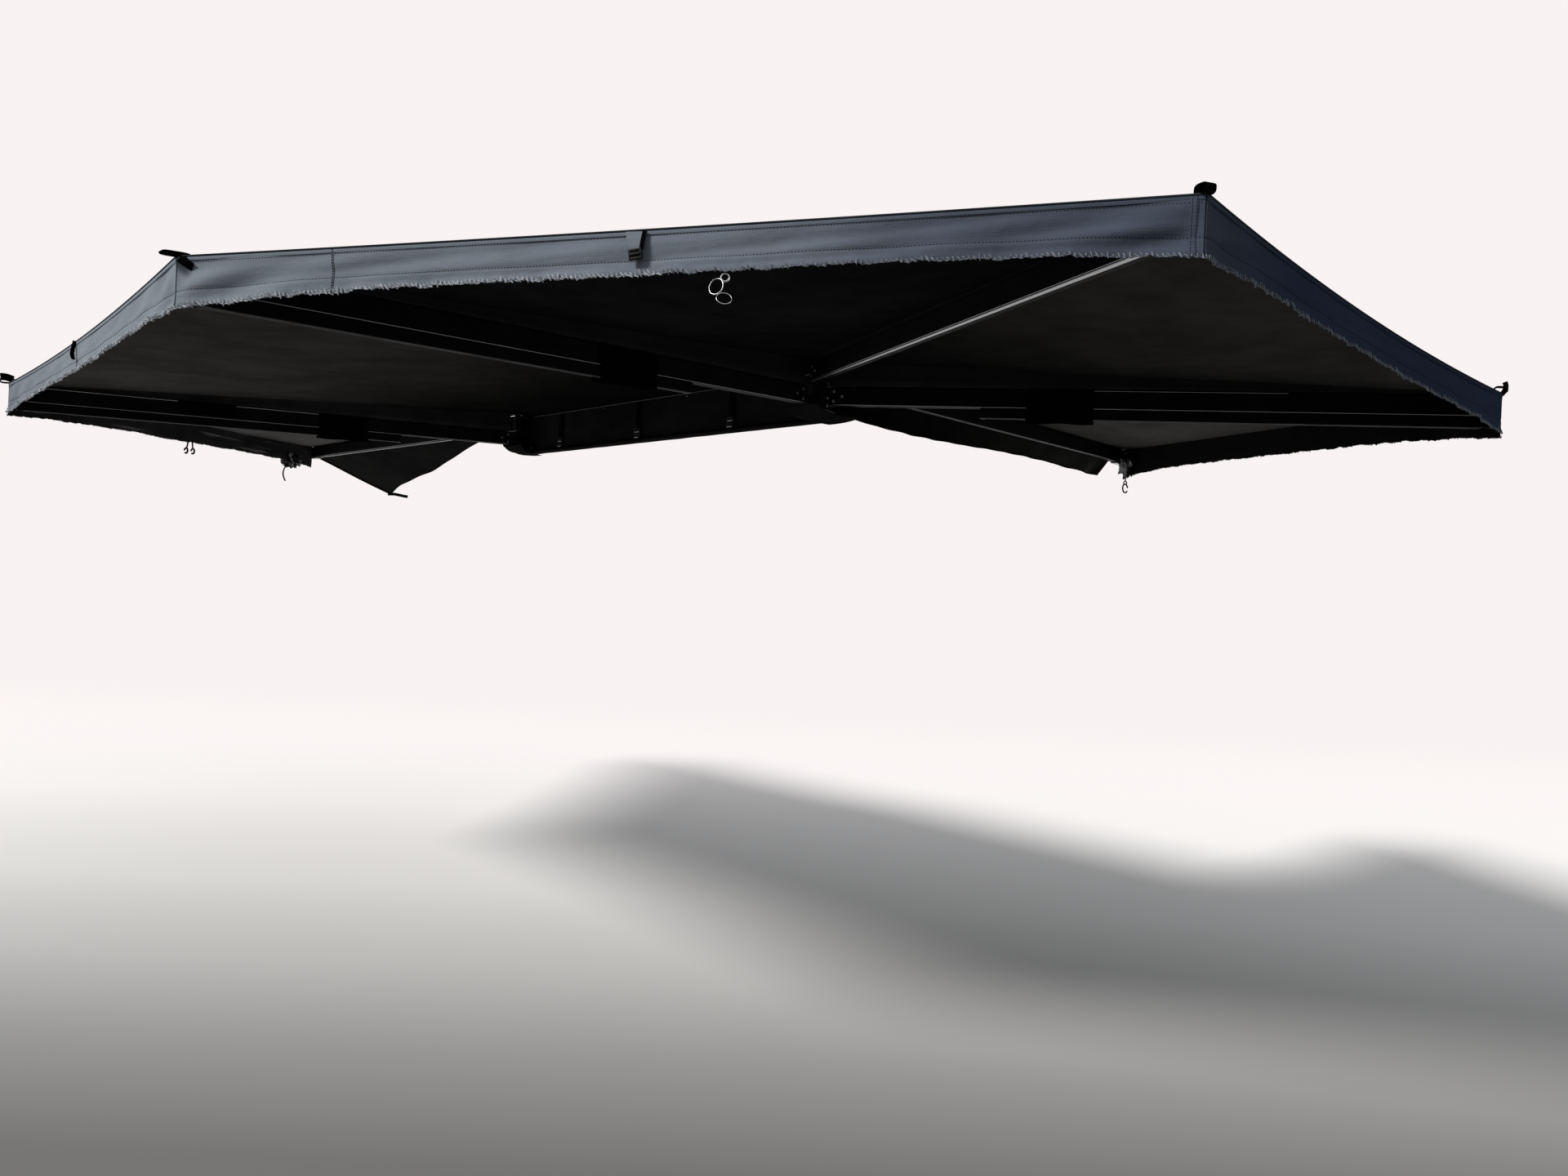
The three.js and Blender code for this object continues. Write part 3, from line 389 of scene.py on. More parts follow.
def over_arm(letter, distance):
    """Points of the canopy's underside over an arm, for an array of distances."""
    hub, degrees, upper, side = ARMS[letter]
    angle = math.radians(degrees)
    distance = np.asarray(distance, float)
    lane = side * LANE * np.minimum(1, distance / LANE_START)
    corner = upper * LEVEL_PITCH + CORNER_RISE * math.cos(DROOP) - ARM_REACH * math.sin(DROOP)
    return np.stack([
        hub[0] + distance * math.cos(angle) - lane * math.sin(angle),
        hub[1] + distance * math.sin(angle) + lane * math.cos(angle),
        APEX_Z + (corner - APEX_Z) * distance / CORNER_RADIUS + SET_DOWN,
    ], axis=-1)


def level_ways(letter):
    """Level unit vectors of an arm: out along it, and to its left."""
    angle = math.radians(ARMS[letter][1])
    return np.array((math.cos(angle), math.sin(angle), 0)), np.array((-math.sin(angle), math.cos(angle), 0))


def arm_frame(letter):
    """The arm's own axes: x out along it, y to its left, z up."""
    hub, degrees, upper, side = ARMS[letter]
    place = Matrix.Translation((hub[0], hub[1], upper * LEVEL_PITCH + SET_DOWN))
    turned = place @ Matrix.Rotation(math.radians(degrees), 4, "Z") @ Matrix.Rotation(DROOP, 4, "Y")
    return turned @ Matrix.Translation((0, side * LANE, 0))


print("corner c", np.round(over_arm("c", CORNER_RADIUS), 3))

# %% [markdown]
# ## Where the cloth goes when the arms fold
#
# Folded arms lie side by side with ten millimetres between them, and the cloth
# hangs in those gaps as a thin curtain. The table gives each piece of cloth the
# body it rides on, the joint it folds with, and a plane just beside that arm, or
# the rail's plane for the two halves of the sheet between the hubs, which are
# sewn to the rail. Here each piece is only attached to its body.

# %% Stowing table
def beside(letter, offset):
    hub, across = ARMS[letter][0], tuple(level_ways(letter)[1].tolist())
    return across, (hub[0] + across[0] * offset, hub[1] + across[1] * offset, 0)


AT_RAIL = ((0, 1, 0), (0, 0.0675, 0))
STOW = {
    "ab": ("arm_b", "arm_a_swing", *beside("b", -0.0242)),
    "bc_front": ("base", "arm_a_swing", *AT_RAIL),
    "bc_rear": ("base", "arm_f_swing", *AT_RAIL),
    "cd": ("arm_c", "arm_f_swing", *beside("c", -0.0008)),
    "de": ("arm_e", "arm_f_swing", *beside("e", 0.0010)),
    "ef": ("arm_e", "arm_f_swing", *beside("e", 0.0640)),
    "flap_front": ("arm_a", "arm_a_swing", *beside("a", -0.0262)),
}


def stow(piece, key):
    body, joint, axis, anchor = STOW[key]
    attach(piece, body)
    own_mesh(piece)
    return piece

# %% [markdown]
# ## Meshes from grids and sweeps
#
# Two makers cover almost all of the cloth. `cloth` turns a grid of points into a
# sheet with UV in metres and a Solidify modifier, whose inner face takes the
# second material. `sweep` draws a section along a path, for piping and straps.

# %% Makers
def link(name, data):
    made = bpy.data.objects.new(name, data)
    bpy.context.scene.collection.objects.link(made)
    return made


def length_along(points, axis=0):
    """Length so far along a path, or along each row or column of a grid."""
    steps = np.linalg.norm(np.diff(points, axis=axis), axis=-1)
    return np.concatenate([np.zeros_like(steps.take([0], axis)), np.cumsum(steps, axis=axis)], axis=axis)


def spans(first, second):
    """Two grids of numbers, each from (start, stop, count): one runs down, one across."""
    return np.meshgrid(np.linspace(*first), np.linspace(*second), indexing="ij")


def hum(x, y=0.0, z=0.0):
    """Smooth noise from -1 to 1 at arrays of places."""
    x, y, z = np.broadcast_arrays(x, y, z)
    places = zip(x.ravel(), y.ravel(), z.ravel())
    return np.array([noise.noise(Vector(place)) for place in places]).reshape(x.shape)


def placed(points, axes):
    return np.asarray(points) @ np.array(axes.to_3x3()).T + np.array(axes.translation)


def mesh_from(name, points, faces, uv=None, smooth=True, sharp=None):
    data = bpy.data.meshes.new(name)
    data.from_pydata([tuple(p) for p in points], [], [tuple(f) for f in faces])
    if uv is not None:
        layer = data.uv_layers.new(name="UVMap")
        corner = np.zeros(len(data.loops), np.int32)
        data.loops.foreach_get("vertex_index", corner)
        layer.data.foreach_set("uv", np.asarray(uv, np.float32)[corner].ravel())
    data.polygons.foreach_set("use_smooth", [smooth] * len(data.polygons))
    if sharp:
        data.set_sharp_from_angle(angle=math.radians(sharp))
    data.validate()
    data.update()
    return data


def cloth(name, grid, outward, finishes=(SLATE, LINING), thickness=0.0012):
    """A sheet from a grid of points. It remembers its cut and its area."""
    rows, columns = grid.shape[:2]
    index = np.arange(rows * columns).reshape(rows, columns)
    corners = [index[:-1, :-1], index[:-1, 1:], index[1:, 1:], index[1:, :-1]]
    quads = np.stack(corners, axis=-1).reshape(-1, 4)
    a, b, c, d = (grid.reshape(-1, 3)[quads[:, k]] for k in range(4))
    crosses = np.cross(c - a, d - b) / 2
    if float((crosses.sum(axis=0) * np.asarray(outward)).sum()) < 0:
        quads = quads[:, ::-1]
    across, along = length_along(grid, 1), length_along(grid, 0)
    data = mesh_from(name, grid.reshape(-1, 3), quads, np.stack([across, along], axis=-1).reshape(-1, 2))
    rim = np.ones((rows, columns), bool)
    rim[1:-1, 1:-1] = False
    ends = np.zeros(len(data.edges) * 2, np.int32)
    data.edges.foreach_get("vertices", ends)
    sharp = data.attributes.new("sharp_edge", "BOOLEAN", "EDGE")
    sharp.data.foreach_set("value", rim.ravel()[ends].reshape(-1, 2).all(axis=1))
    made = link(name, data)
    for finish in finishes:
        data.materials.append(finish)
    solid = made.modifiers.new("thickness", "SOLIDIFY")
    solid.thickness, solid.offset = thickness, 0
    solid.material_offset = len(finishes) - 1
    made["cloth_area"] = float(np.linalg.norm(crosses, axis=1).sum())
    made["cloth_cut"] = [float(across.max()), float(along.max())]
    return made


def unit(vectors):
    return vectors / np.linalg.norm(vectors, axis=-1, keepdims=True)


def sweep(path, section, side=None, closed=False, taper=(1, 1)):
    """Points, faces and UV of a closed section drawn along a path. taper: its size at both ends."""
    path, section = np.asarray(path, float), np.asarray(section, float)
    count, around = len(path), len(section)
    if closed:
        tangent = unit(np.roll(path, -1, axis=0) - np.roll(path, 1, axis=0))
    else:
        tangent = unit(np.gradient(path, axis=0))
    if side is None:
        sides = [unit(np.cross(tangent[0], (0, 0, 1) if abs(tangent[0][2]) < 0.9 else (1, 0, 0)))]
        for direction in tangent[1:]:
            sides.append(unit(sides[-1] - direction * (sides[-1] @ direction)))
        sides = np.array(sides)
    else:
        sides = np.broadcast_to(np.asarray(side, float), tangent.shape)
        sides = unit(sides - tangent * (sides * tangent).sum(axis=1)[:, None])
    normals = np.cross(tangent, sides)
    size = np.linspace(*taper, count)[:, None, None]
    ring = section[None, :, :1] * sides[:, None] + section[None, :, 1:] * normals[:, None]
    faces = []
    for i in range(count if closed else count - 1):
        here, there = i * around, (i + 1) % count * around
        for k in range(around):
            m = (k + 1) % around
            faces.append((here + k, here + m, there + m, there + k))
    if not closed:
        faces.append(tuple(range(around))[::-1])
        faces.append(tuple((count - 1) * around + k for k in range(around)))
    uv = np.meshgrid(length_along(path), length_along(section), indexing="ij")
    return (path[:, None] + size * ring).reshape(-1, 3), faces, np.stack(uv, axis=-1).reshape(-1, 2)


def flat_section(width, thickness):
    """A strap's section, with rounded edges."""
    edge = thickness / 2
    half = width / 2 - edge
    turns = [math.radians(angle) for angle in (-90, -45, 0, 45, 90)]
    right = [(half + edge * math.cos(t), edge * math.sin(t)) for t in turns]
    return right + [(-x, -y) for x, y in right]


def round_section(radius, sides=8):
    turns = [2 * math.pi * k / sides for k in range(sides)]
    return [(radius * math.cos(t), radius * math.sin(t)) for t in turns]


def one_mesh(name, parts, finish, sharp=50):
    """Several (points, faces, uv) in one object."""
    points, faces, uvs, start = [], [], [], 0
    for part_points, part_faces, part_uv in parts:
        points.extend(np.asarray(part_points).tolist())
        faces.extend([tuple(index + start for index in face) for face in part_faces])
        uvs.extend(np.asarray(part_uv).tolist())
        start = len(points)
    made = link(name, mesh_from(name, points, faces, uvs, sharp=sharp))
    made.data.materials.append(finish)
    return made


def moved(part, axes):
    return (placed(part[0], axes), *part[1:])


def ribbon(path, width, thickness, side, **options):
    return sweep(path, flat_section(width, thickness), side, **options)


def fixed(name, parts, finish, body):
    """One mesh that rides on a body."""
    made = one_mesh(name, parts, finish)
    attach(made, body)
    return made


def sewn_on(name, parts, finish, key):
    """One mesh that folds away with its cloth."""
    return stow(one_mesh(name, parts, finish), key)

# %% [markdown]
# ## Canopy
#
# Real canopy cloth is pulled tight between the arms. It sags a little in each
# bay, and its outer edges bow inwards. Short tension folds run in from the
# corners. The shape follows a rule, so it is computed point by point. A
# simulation would only find the same rule again.

# %% Canopy surface
SAG, EDGE_BOW, EDGE_SAG = 0.022, 0.045, 0.014
BOW_SHARES = {"ab": 0.9, "bc": 0.5, "cd": 0.15, "de": 0.65, "ef": 0.9}
SEAM_GAP, BAY_STEPS, SKIN_LIFT = 0.0004, 72, 0.001
LIP_END, LIP_Y, LIP_Z = 1.0647, 0.020, 0.0463
FAN_FOLDS, FAN_DEPTH = 46, 0.0035
SLACK_BROAD, SLACK_FINE = (2.3, 0.004), (7.0, 0.0014)
EDGES = {
    "ab": ("ab", 0, 1), "bc_front": ("bc", 0, 0.5), "bc_rear": ("bc", 0.5, 1),
    "cd": ("cd", 0, 1), "de": ("de", 0, 1), "ef": ("ef", 0, 1),
}
# Each bay's underside takes the lining copy painted with that bay's light and shade.
INSIDE = {"ab": BRIGHTLY_LIT_LINING, "bc": LIT_LINING, "cd": SHADED_LINING, "de": LIT_LINING, "ef": BRIGHTLY_LIT_LINING}


def edge_of(first, second):
    return over_arm(second, CORNER_RADIUS) - over_arm(first, CORNER_RADIUS)


def inward_of(first, second):
    """The level direction from a bay's outer edge towards the hubs."""
    along = unit(edge_of(first, second) * (1, 1, 0))
    return np.array((-along[1], along[0], 0))


def along_edge(pair):
    """The level direction along a bay's outer edge, back towards its first arm."""
    return np.cross(-inward_of(*pair), (0, 0, 1))


def bay(first, second, u, v):
    """Underside of a bay: u from one arm to the next, v from the hubs out."""
    distance = APEX_TRIM + (CORNER_RADIUS - APEX_TRIM) * v
    start, end = over_arm(first, distance), over_arm(second, distance)
    across = end - start
    gap = SEAM_GAP / np.linalg.norm(across, axis=-1)
    point = start + across * (gap + (1 - 2 * gap) * u)[..., None]
    point[..., 2] -= SAG * 4 * u * (1 - u) * np.sin(math.pi * np.clip(v, 0, 1)) ** 2
    bowed = BOW_SHARES[first + second] * 4 * u * (1 - u) * v ** 3
    point = point + inward_of(first, second) * (EDGE_BOW * bowed)[..., None]
    point[..., 2] -= EDGE_SAG * bowed
    return point


def slack_waves(point, scale, seed):
    """Smooth noise over a grid of points, in the single precision that a Vector has."""
    places = point.astype(np.float32) * np.float32(scale) + np.float32((seed, seed * 0.7, 0))
    return hum(places[..., 0], places[..., 1], places[..., 2])


def creases(u, v, point, seed):
    """Tension folds that fan out of a bay's outer corners, and faint slack waves."""
    near = np.minimum(u, 1 - u)
    spread = near * (1.02 - v * 0.2) / (1.15 - v)
    fan = np.sin(spread * FAN_FOLDS + seed) * np.exp(-((1 - v) * 2.6)) * np.exp(-near * 7) * FAN_DEPTH
    (broad, height), (fine, ripple) = SLACK_BROAD, SLACK_FINE
    slack = slack_waves(point, broad, seed) * height + slack_waves(point, fine, seed + 5) * ripple
    edge = np.clip(near * 9, 0, 1) * np.clip((1 - v) * 12, 0, 1) * np.clip(v * 8, 0, 1)
    return (fan + slack) * edge


bays = {}
for key, (pair, low, high) in EDGES.items():
    v, u = spans((0, 1, BAY_STEPS + 1), (low, high, int(BAY_STEPS * (high - low)) + 1))
    grid = bay(*pair, u, v)
    grid[..., 2] += SKIN_LIFT + creases(u, v, grid, 3.1 * "abcde".index(pair[0]))
    if pair == "bc":
        lip = np.array([(LIP_END * (1 - 2 * share), LIP_Y, LIP_Z) for share in u[0]])
        grid = np.concatenate([lip[None], grid])
    bays[key] = cloth(f"canopy_{key}", grid, (0, 0, 1), (SLATE, INSIDE[pair]))
    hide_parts(f"panel_{pair}")
    print(bays[key].name, "cloth", round(bays[key]["cloth_area"], 2), "m2")

# %% [markdown]
# ## Valances
#
# A valance hangs from each outer edge, deepest at its corners. Its foot is a
# folded hem whose thread has drawn it up into small puckers, and a line of
# stitching at two thirds of the depth pulls a shallow groove. The surface is one
# function again, because the stitches are laid on it later.

# %% Valance surface
DEPTH, MID_DEPTH, FOLD, FOLDS = 0.120, 0.092, 0.005, 9
VALANCE_GAP, CORNER_TRIM, STITCH_LINE, EDGE_STEP = 0.0003, 0.0023, 0.66, 0.006
GROOVE_DEPTH, GROOVE_WIDTH, FOOT_LINE, FOOT_FOLD = 0.0013, 0.018, 0.86, 0.0016
PUCKER_LINE, DRAG_REACH, DRAG, STRONG_DRAG = 0.62, 0.30, 0.0050, 0.0085


def valance_at(first, second, u, v, proud=0.0):
    """A point of the valance: u along the edge, v down it, proud of its outer face."""
    length = float(np.linalg.norm(edge_of(first, second)))
    trim = CORNER_TRIM / length
    seed, metres = ord(first), u * length
    wave, fine = hum(metres * 30, seed, seed / 2), hum(metres * 85, seed + 9, (seed + 9) / 2)
    broad = hum(metres * 4.5, seed + 3, (seed + 3) / 2)
    slow = hum(metres * 2.2 + v * 3.1, seed + 17, (seed + 17) / 2)
    ends = np.clip(np.minimum(u, 1 - u) * 60, 0, 1)
    drop = MID_DEPTH + (DEPTH - MID_DEPTH) * (2 * u - 1) ** 4
    drag_height = STRONG_DRAG if first == "c" else DRAG
    soft = (broad * 0.004 * v + slow * 0.0035 * np.sin(math.pi * v)) * ends
    if first == "a":
        drop = drop * 1.10 + broad * 0.008 * ends
        soft = soft + (wave * 0.006 + hum(metres * 12, 4.0, 2.0) * 0.010) * v * ends
    if first == "c":
        soft = soft + slow * 0.0035 * np.sin(math.pi * v) * ends
    if first == "e":
        drop = drop * (1.12 + 0.12 * u ** 8)
        gathered = np.clip((u - 0.90) * 12, 0, 1) * np.clip((1 - u) * 80, 0, 1)
        soft = soft + gathered * (0.010 + 0.010 * np.sin(metres * 260 + 5 * v)) * v
    drop = drop + (wave * 0.0045 + fine * 0.0035) * v ** 8 * ends
    fold = FOLD * (1 - np.cos(2 * math.pi * FOLDS * u)) / 2 * v
    pucker = (wave * 0.0028 + fine * 0.0022) * np.clip((v - PUCKER_LINE) * 2.6, 0, 1) ** 2 * ends
    drag = np.exp(-np.minimum(metres, length - metres) / DRAG_REACH) * ends * drag_height
    drag = drag * np.sin(2 * math.pi * (metres * 3.4 + v * 0.9)) * np.sin(math.pi * v * 0.9)
    groove = GROOVE_DEPTH * np.exp(-((v - STITCH_LINE) / GROOVE_WIDTH) ** 2)
    hem = -FOOT_FOLD * np.clip((v - FOOT_LINE) * 30, 0, 1)
    inset = 0.001 + fold + pucker + soft + drag + groove + hem
    point = bay(first, second, trim + (1 - 2 * trim) * u, np.ones_like(u))
    point = point + inward_of(first, second) * (inset - proud)[..., None]
    point[..., 2] -= VALANCE_GAP + drop * v
    return point


valances = {}
for key, (pair, low, high) in EDGES.items():
    first, last = (bay(*pair, np.full(1, end), np.ones(1))[0] for end in (0.0, 1.0))
    length = float(np.linalg.norm(last - first)) * (high - low)
    v, u = spans((0, 1, 25), (low, high, int(length / EDGE_STEP) + 1))
    # The valances' outer face carries painted light and shade; the AB valance's inner face carries painted
    # fold highlights.
    faces = (SUN_SHADED_SLATE, FOLD_HIGHLIT_LINING if key == "ab" else LINING)
    valances[key] = cloth(f"valance_{key}_cloth", valance_at(*pair, u, v), -inward_of(*pair), faces)
    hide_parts(f"valance_{pair}")
    print(valances[key].name, round(length, 3), "m long")

# %% [markdown]
# Along the top of each valance the canopy's edge is rolled over a cord and
# stitched flat. It shows as a narrow raised band, so it is swept along the edge
# with a flat rounded section that stands on its edge. The cord itself is the
# darker line on top.

# %% Rolled top hem
HEM_WIDTH, HEM_THICKNESS = 0.011, 0.0015
hems = {}
for key, (pair, low, high) in EDGES.items():
    u = np.linspace(low, high, 160)
    line = valance_at(*pair, u, np.zeros_like(u), 0.0011)
    line[:, 2] -= HEM_WIDTH / 2 - 0.003
    section = [(y, x) for x, y in flat_section(HEM_WIDTH, HEM_THICKNESS)]
    hems[key] = one_mesh(f"hem_{key}", [sweep(line, section, -inward_of(*pair))], SUN_SHADED_SLATE)
    top = line - inward_of(*pair) * 0.0002 + (0, 0, HEM_WIDTH / 2)
    hems[f"{key}_edge"] = one_mesh(f"edge_cord_{key}", [sweep(top, round_section(0.0024))], EDGE_CLOTH)

# %% [markdown]
# ## Stitches
#
# Thousands of equal stitches follow a few long lines: that is work for Geometry
# Nodes. A tree walks along each line, drops a small grain at every step, turns
# it along the line, and gives it the thread's material. The named inputs are the
# stitch's length, its thickness and its slant, and the wear that turns each
# grain a little at random. `Grower` is a tree that ends in plain geometry.

# %% Stitch tree
class Grower(Tree):
    """A Geometry Nodes tree with named numbers and one material to give."""

    def __init__(self, name, material, **numbers):
        super().__init__(bpy.data.node_groups.new(name, "GeometryNodeTree"))
        self.material = material
        self.socket("Geometry", "Geometry")
        for words, value in numbers.items():
            self.socket(words, "Float").default_value = value
        self.socket(material, "Material")
        self.socket("Geometry", "Geometry", "OUTPUT")
        self.inputs = self.tree.nodes.new("NodeGroupInput").outputs

    def socket(self, name, kind, way="INPUT"):
        return self.tree.interface.new_socket(name, in_out=way, socket_type=f"NodeSocket{kind}")

    def given(self, name):
        return Tap(self, self.inputs[name])

    def finish(self, **rows):
        """Sets a piece on each point, makes it real geometry and gives it its material."""
        made = self.node("GeometryNodeInstanceOnPoints", {}, rows)
        made = self.node("GeometryNodeRealizeInstances", {}, {0: made})
        values = {"Geometry": made, "Material": self.given(self.material)}
        made = self.node("GeometryNodeSetMaterial", {}, values)
        self.feed(self.tree.nodes.new("NodeGroupOutput").inputs[0], made)
        return self.tree


def stitch_tree():
    numbers = {"Spacing": 0.01, "Length": 0.006, "Thickness": 0.001, "Slant": 0.0, "Wear": 0.0}
    grow = Grower("stitches", "Thread", **numbers)
    line = grow.node("GeometryNodeMeshToCurve", {}, {0: grow.given("Geometry")})
    steps = {"Curve": line, "Length": grow.given("Spacing")}
    steps = grow.node("GeometryNodeResampleCurve", {"mode": "LENGTH"}, steps)
    grain = grow.node("GeometryNodeMeshIcoSphere", {}, {"Radius": 0.5, "Subdivisions": 1})
    size = {"X": grow.given("Length"), "Y": grow.given("Thickness"), "Z": grow.given("Thickness")}
    size = grow.node("ShaderNodeCombineXYZ", {}, size)
    grain = grow.node("GeometryNodeTransform", {}, {"Geometry": grain, "Scale": size})
    chance = {"Min": (-1, -1, -1), "Max": (1, 1, 1), "Seed": 7}
    chance = grow.node("FunctionNodeRandomValue", {"data_type": "FLOAT_VECTOR"}, chance)
    wear = grow.node("ShaderNodeVectorMath", {"operation": "SCALE"}, {0: chance, "Scale": grow.given("Wear")})
    slant = grow.node("ShaderNodeCombineXYZ", {}, {"Y": grow.given("Slant")})
    lean = grow.node("ShaderNodeVectorMath", {"operation": "ADD"}, {0: wear, 1: slant})
    lean = grow.node("FunctionNodeEulerToRotation", {}, {0: lean})
    way = {"Vector": grow.node("GeometryNodeInputTangent")}
    along = grow.node("FunctionNodeAlignRotationToVector", {"axis": "X"}, way)
    turn = {"Rotation": along, "Rotate By": lean}
    turn = grow.node("FunctionNodeRotateRotation", {"rotation_space": "LOCAL"}, turn)
    scale = grow.node("ShaderNodeVectorMath", {"operation": "ADD"}, {0: wear, 1: (1, 1, 1)})
    return grow.finish(Points=steps, Instance=grain, Rotation=turn, Scale=scale)


STITCHES = stitch_tree()


def grown(made, tree, values):
    """Runs a tree on an object and keeps the result as a plain mesh."""
    modifier = made.modifiers.new("grow", "NODES")
    modifier.node_group = tree
    for item in tree.interface.items_tree:
        if item.item_type == "SOCKET" and item.in_out == "INPUT" and item.name in values:
            modifier[item.identifier] = values[item.name]
    bpy.context.view_layer.update()
    graph = bpy.context.evaluated_depsgraph_get()
    data = bpy.data.meshes.new_from_object(made.evaluated_get(graph))
    made.modifiers.remove(modifier)
    made.data = data
    return made


def sew(name, lines, spacing, length, thickness, thread, slant=0.0, wear=0.0):
    """Rows of stitches along polylines, as one plain mesh."""
    points, edges, start = [], [], 0
    for line in lines:
        points.extend(np.asarray(line).tolist())
        edges.extend((start + k, start + k + 1) for k in range(len(line) - 1))
        start = len(points)
    data = bpy.data.meshes.new(name)
    data.from_pydata(points, edges, [])
    sizes = {"Spacing": spacing, "Length": length, "Thickness": thickness, "Slant": slant, "Wear": wear}
    made = grown(link(name, data), STITCHES, {**sizes, "Thread": thread})
    print(name, "faces", len(made.data.polygons))
    return made

# %% [markdown]
# Four kinds of row are sewn on the valances: a dark line along the groove, an
# even one below the top hem, and over the foot a slanted overlock with its
# loose tails. The overlock's thread is pale at the middle and darker at the rear.

# %% Sew the valances
# Each stitch: its spacing, length and thickness, and for the fringe its slant and wear.
GROOVE_STITCH, TOP_STITCH = (0.0075, 0.0052, 0.0012), (0.0075, 0.0055, 0.0013)
SEAM_STITCH = (0.0085, 0.0055, 0.0010)
OVERLOCK, TAIL = (0.0105, 0.0130, 0.0034, 1.05, 0.42), (0.0135, 0.0110, 0.0030, 0.25, 0.45)
FRINGE_PROUD, TAIL_PROUD, EVEN_PROUD, LINE_STEP, FAT = 0.0026, 0.0016, 0.0014, 0.004, 1.25
TOP_LINE, FRINGE_LINE, TAIL_LINE = 0.100, 0.970, 0.998
FRINGE = {
    "ab": [(0, 1, SOFT_THREAD)],
    "bc_front": [(0, 0.5, PALE_THREAD)],
    "bc_rear": [(0.5, 1, PALE_THREAD)],
    "cd": [(0, 0.52, PALE_THREAD), (0.52, 1, DIM_THREAD)],
    "de": [(0, 1, DIM_THREAD)],
    "ef": [(0, 1, SOFT_THREAD)],
}


def edge_line(pair, low, high, depth, proud):
    length = np.linalg.norm(edge_of(*pair)) * (high - low)
    u = np.linspace(low, high, int(length / LINE_STEP))
    return valance_at(*pair, u, np.full_like(u, depth), proud)


for key, (pair, low, high) in EDGES.items():
    # Painted shade: the top stitch is sewn in the darker thread on the DE and EF valances, which lie on the
    # shaded rear side.
    even = DARK_THREAD if pair in ("de", "ef") else SOFT_THREAD
    groove, hem = (edge_line(pair, low, high, depth, EVEN_PROUD) for depth in (STITCH_LINE, TOP_LINE))
    rows = {
        "groove_stitch": ([groove], *GROOVE_STITCH, DARK_THREAD),
        "hem_stitch": ([hem], *TOP_STITCH, even),
    }
    for part, (first, last, thread) in enumerate(FRINGE[key]):
        fat = FAT if thread is PALE_THREAD else 1.0
        for kind, stitch, depth, proud in (
            ("overlock", OVERLOCK, FRINGE_LINE, FRINGE_PROUD), ("overlock_tail", TAIL, TAIL_LINE, TAIL_PROUD),
        ):
            spacing, length, thickness, slant, wear = stitch
            line = edge_line(pair, first, last, depth, proud)
            rows[f"{kind}_{part}"] = ([line], spacing, length * fat, thickness * fat, thread, slant, wear)
    for kind, row in rows.items():
        stow(sew(f"{kind}_{key}", *row), key)

# %% [markdown]
# ## Seams over the arms
#
# Neighbouring bays are joined over each arm by a folded seam with two rows of
# stitching. The strip is swept along the arm, and it folds away with the bay.

# %% Seams
SEAM_OWNER = {"a": "ab", "b": "ab", "c": "cd", "d": "cd", "e": "de", "f": "ef"}
END_SEAM, SEAM, SEAM_ROWS = 0.042, 0.026, (-0.009, 0.009)
for letter, owner in SEAM_OWNER.items():
    line = over_arm(letter, np.linspace(0.030, CORNER_RADIUS - 0.006, 60))
    line[:, 2] += 0.0026
    side = level_ways(letter)[1]
    strip = ribbon(line, END_SEAM if letter in "af" else SEAM, 0.0014, side)
    sewn_on(f"seam_{letter}", [strip], SLATE, owner)
    rows = [line + side * offset + (0, 0, 0.0010) for offset in SEAM_ROWS]
    stow(sew(f"seam_stitch_{letter}", rows, *SEAM_STITCH, DARK_THREAD), owner)

for pieces in (bays, valances, hems):
    for key, made in pieces.items():
        stow(made, key.removesuffix("_edge"))

# %% [markdown]
# ## Flaps at the two ends
#
# Past the front arm a loose flap of canopy runs down; it widens and drops
# towards the arm's tip. Beside the last arm the cloth is
# gathered into pleats. Both repeat the frame's own curves with finer folds.
# Their free edges are bound with a narrow rolled hem.

# %% Flaps
FRONT_START, REAR_START, FLAP_END = 0.100, 0.175, ARM_REACH - 0.005
FRONT_SPREAD, FRONT_FALL, FRONT_LOWERED = 0.520, 0.240, 0.059
REAR_DEPTH, REAR_SLANT, REAR_PLEATS = 0.150, 0.165, 9


def flap_front_at(u, v):
    reach = FRONT_START + (FLAP_END - FRONT_START) * u
    growth = u * v
    wave = 0.014 * np.sin(math.pi * 3 * u) * v * u
    crumple = 0.007 * np.sin(9 * u + 3 * v) * np.sin(math.pi * v) * u + 0.004 * np.sin(31 * u + 5 * v) * v * u
    side = -HALF_WIDTH - 0.0003 - FRONT_SPREAD * growth - 0.006 * v - 0.010 * np.sin(13 * u) * v * u
    sewn = HALF_HEIGHT - 0.005 - FRONT_LOWERED * u ** 2 * (1 - v)
    return np.stack([reach, side, sewn - FRONT_FALL * growth - 0.006 * v + wave + crumple], axis=-1)


def flap_rear_at(u, v):
    reach = REAR_START + (FLAP_END - REAR_START - REAR_SLANT * v) * u
    phase = 2 * math.pi * (REAR_PLEATS * u + 0.35 * np.sin(5 * u) + 0.22 * np.sin(17 * u + 1))
    phase = phase + 14 * np.clip(u - 0.86, 0, 1)
    deep = 0.005 + 0.004 * np.sin(4 * u + 0.7) ** 2 + 0.020 * u ** 8
    pleat = deep * np.minimum(1, 4 * u) * (1 - np.cos(phase + 0.8 * v)) * v / 2
    ragged = (0.0008 * np.sin(2 * math.pi * 13 * u + 1) + 0.010 * np.sin(7 * u) - 0.012 * u ** 4) * v ** 3
    return np.stack([reach, HALF_WIDTH + 0.0013 + pleat, HALF_HEIGHT - (REAR_DEPTH + ragged) * v], axis=-1)


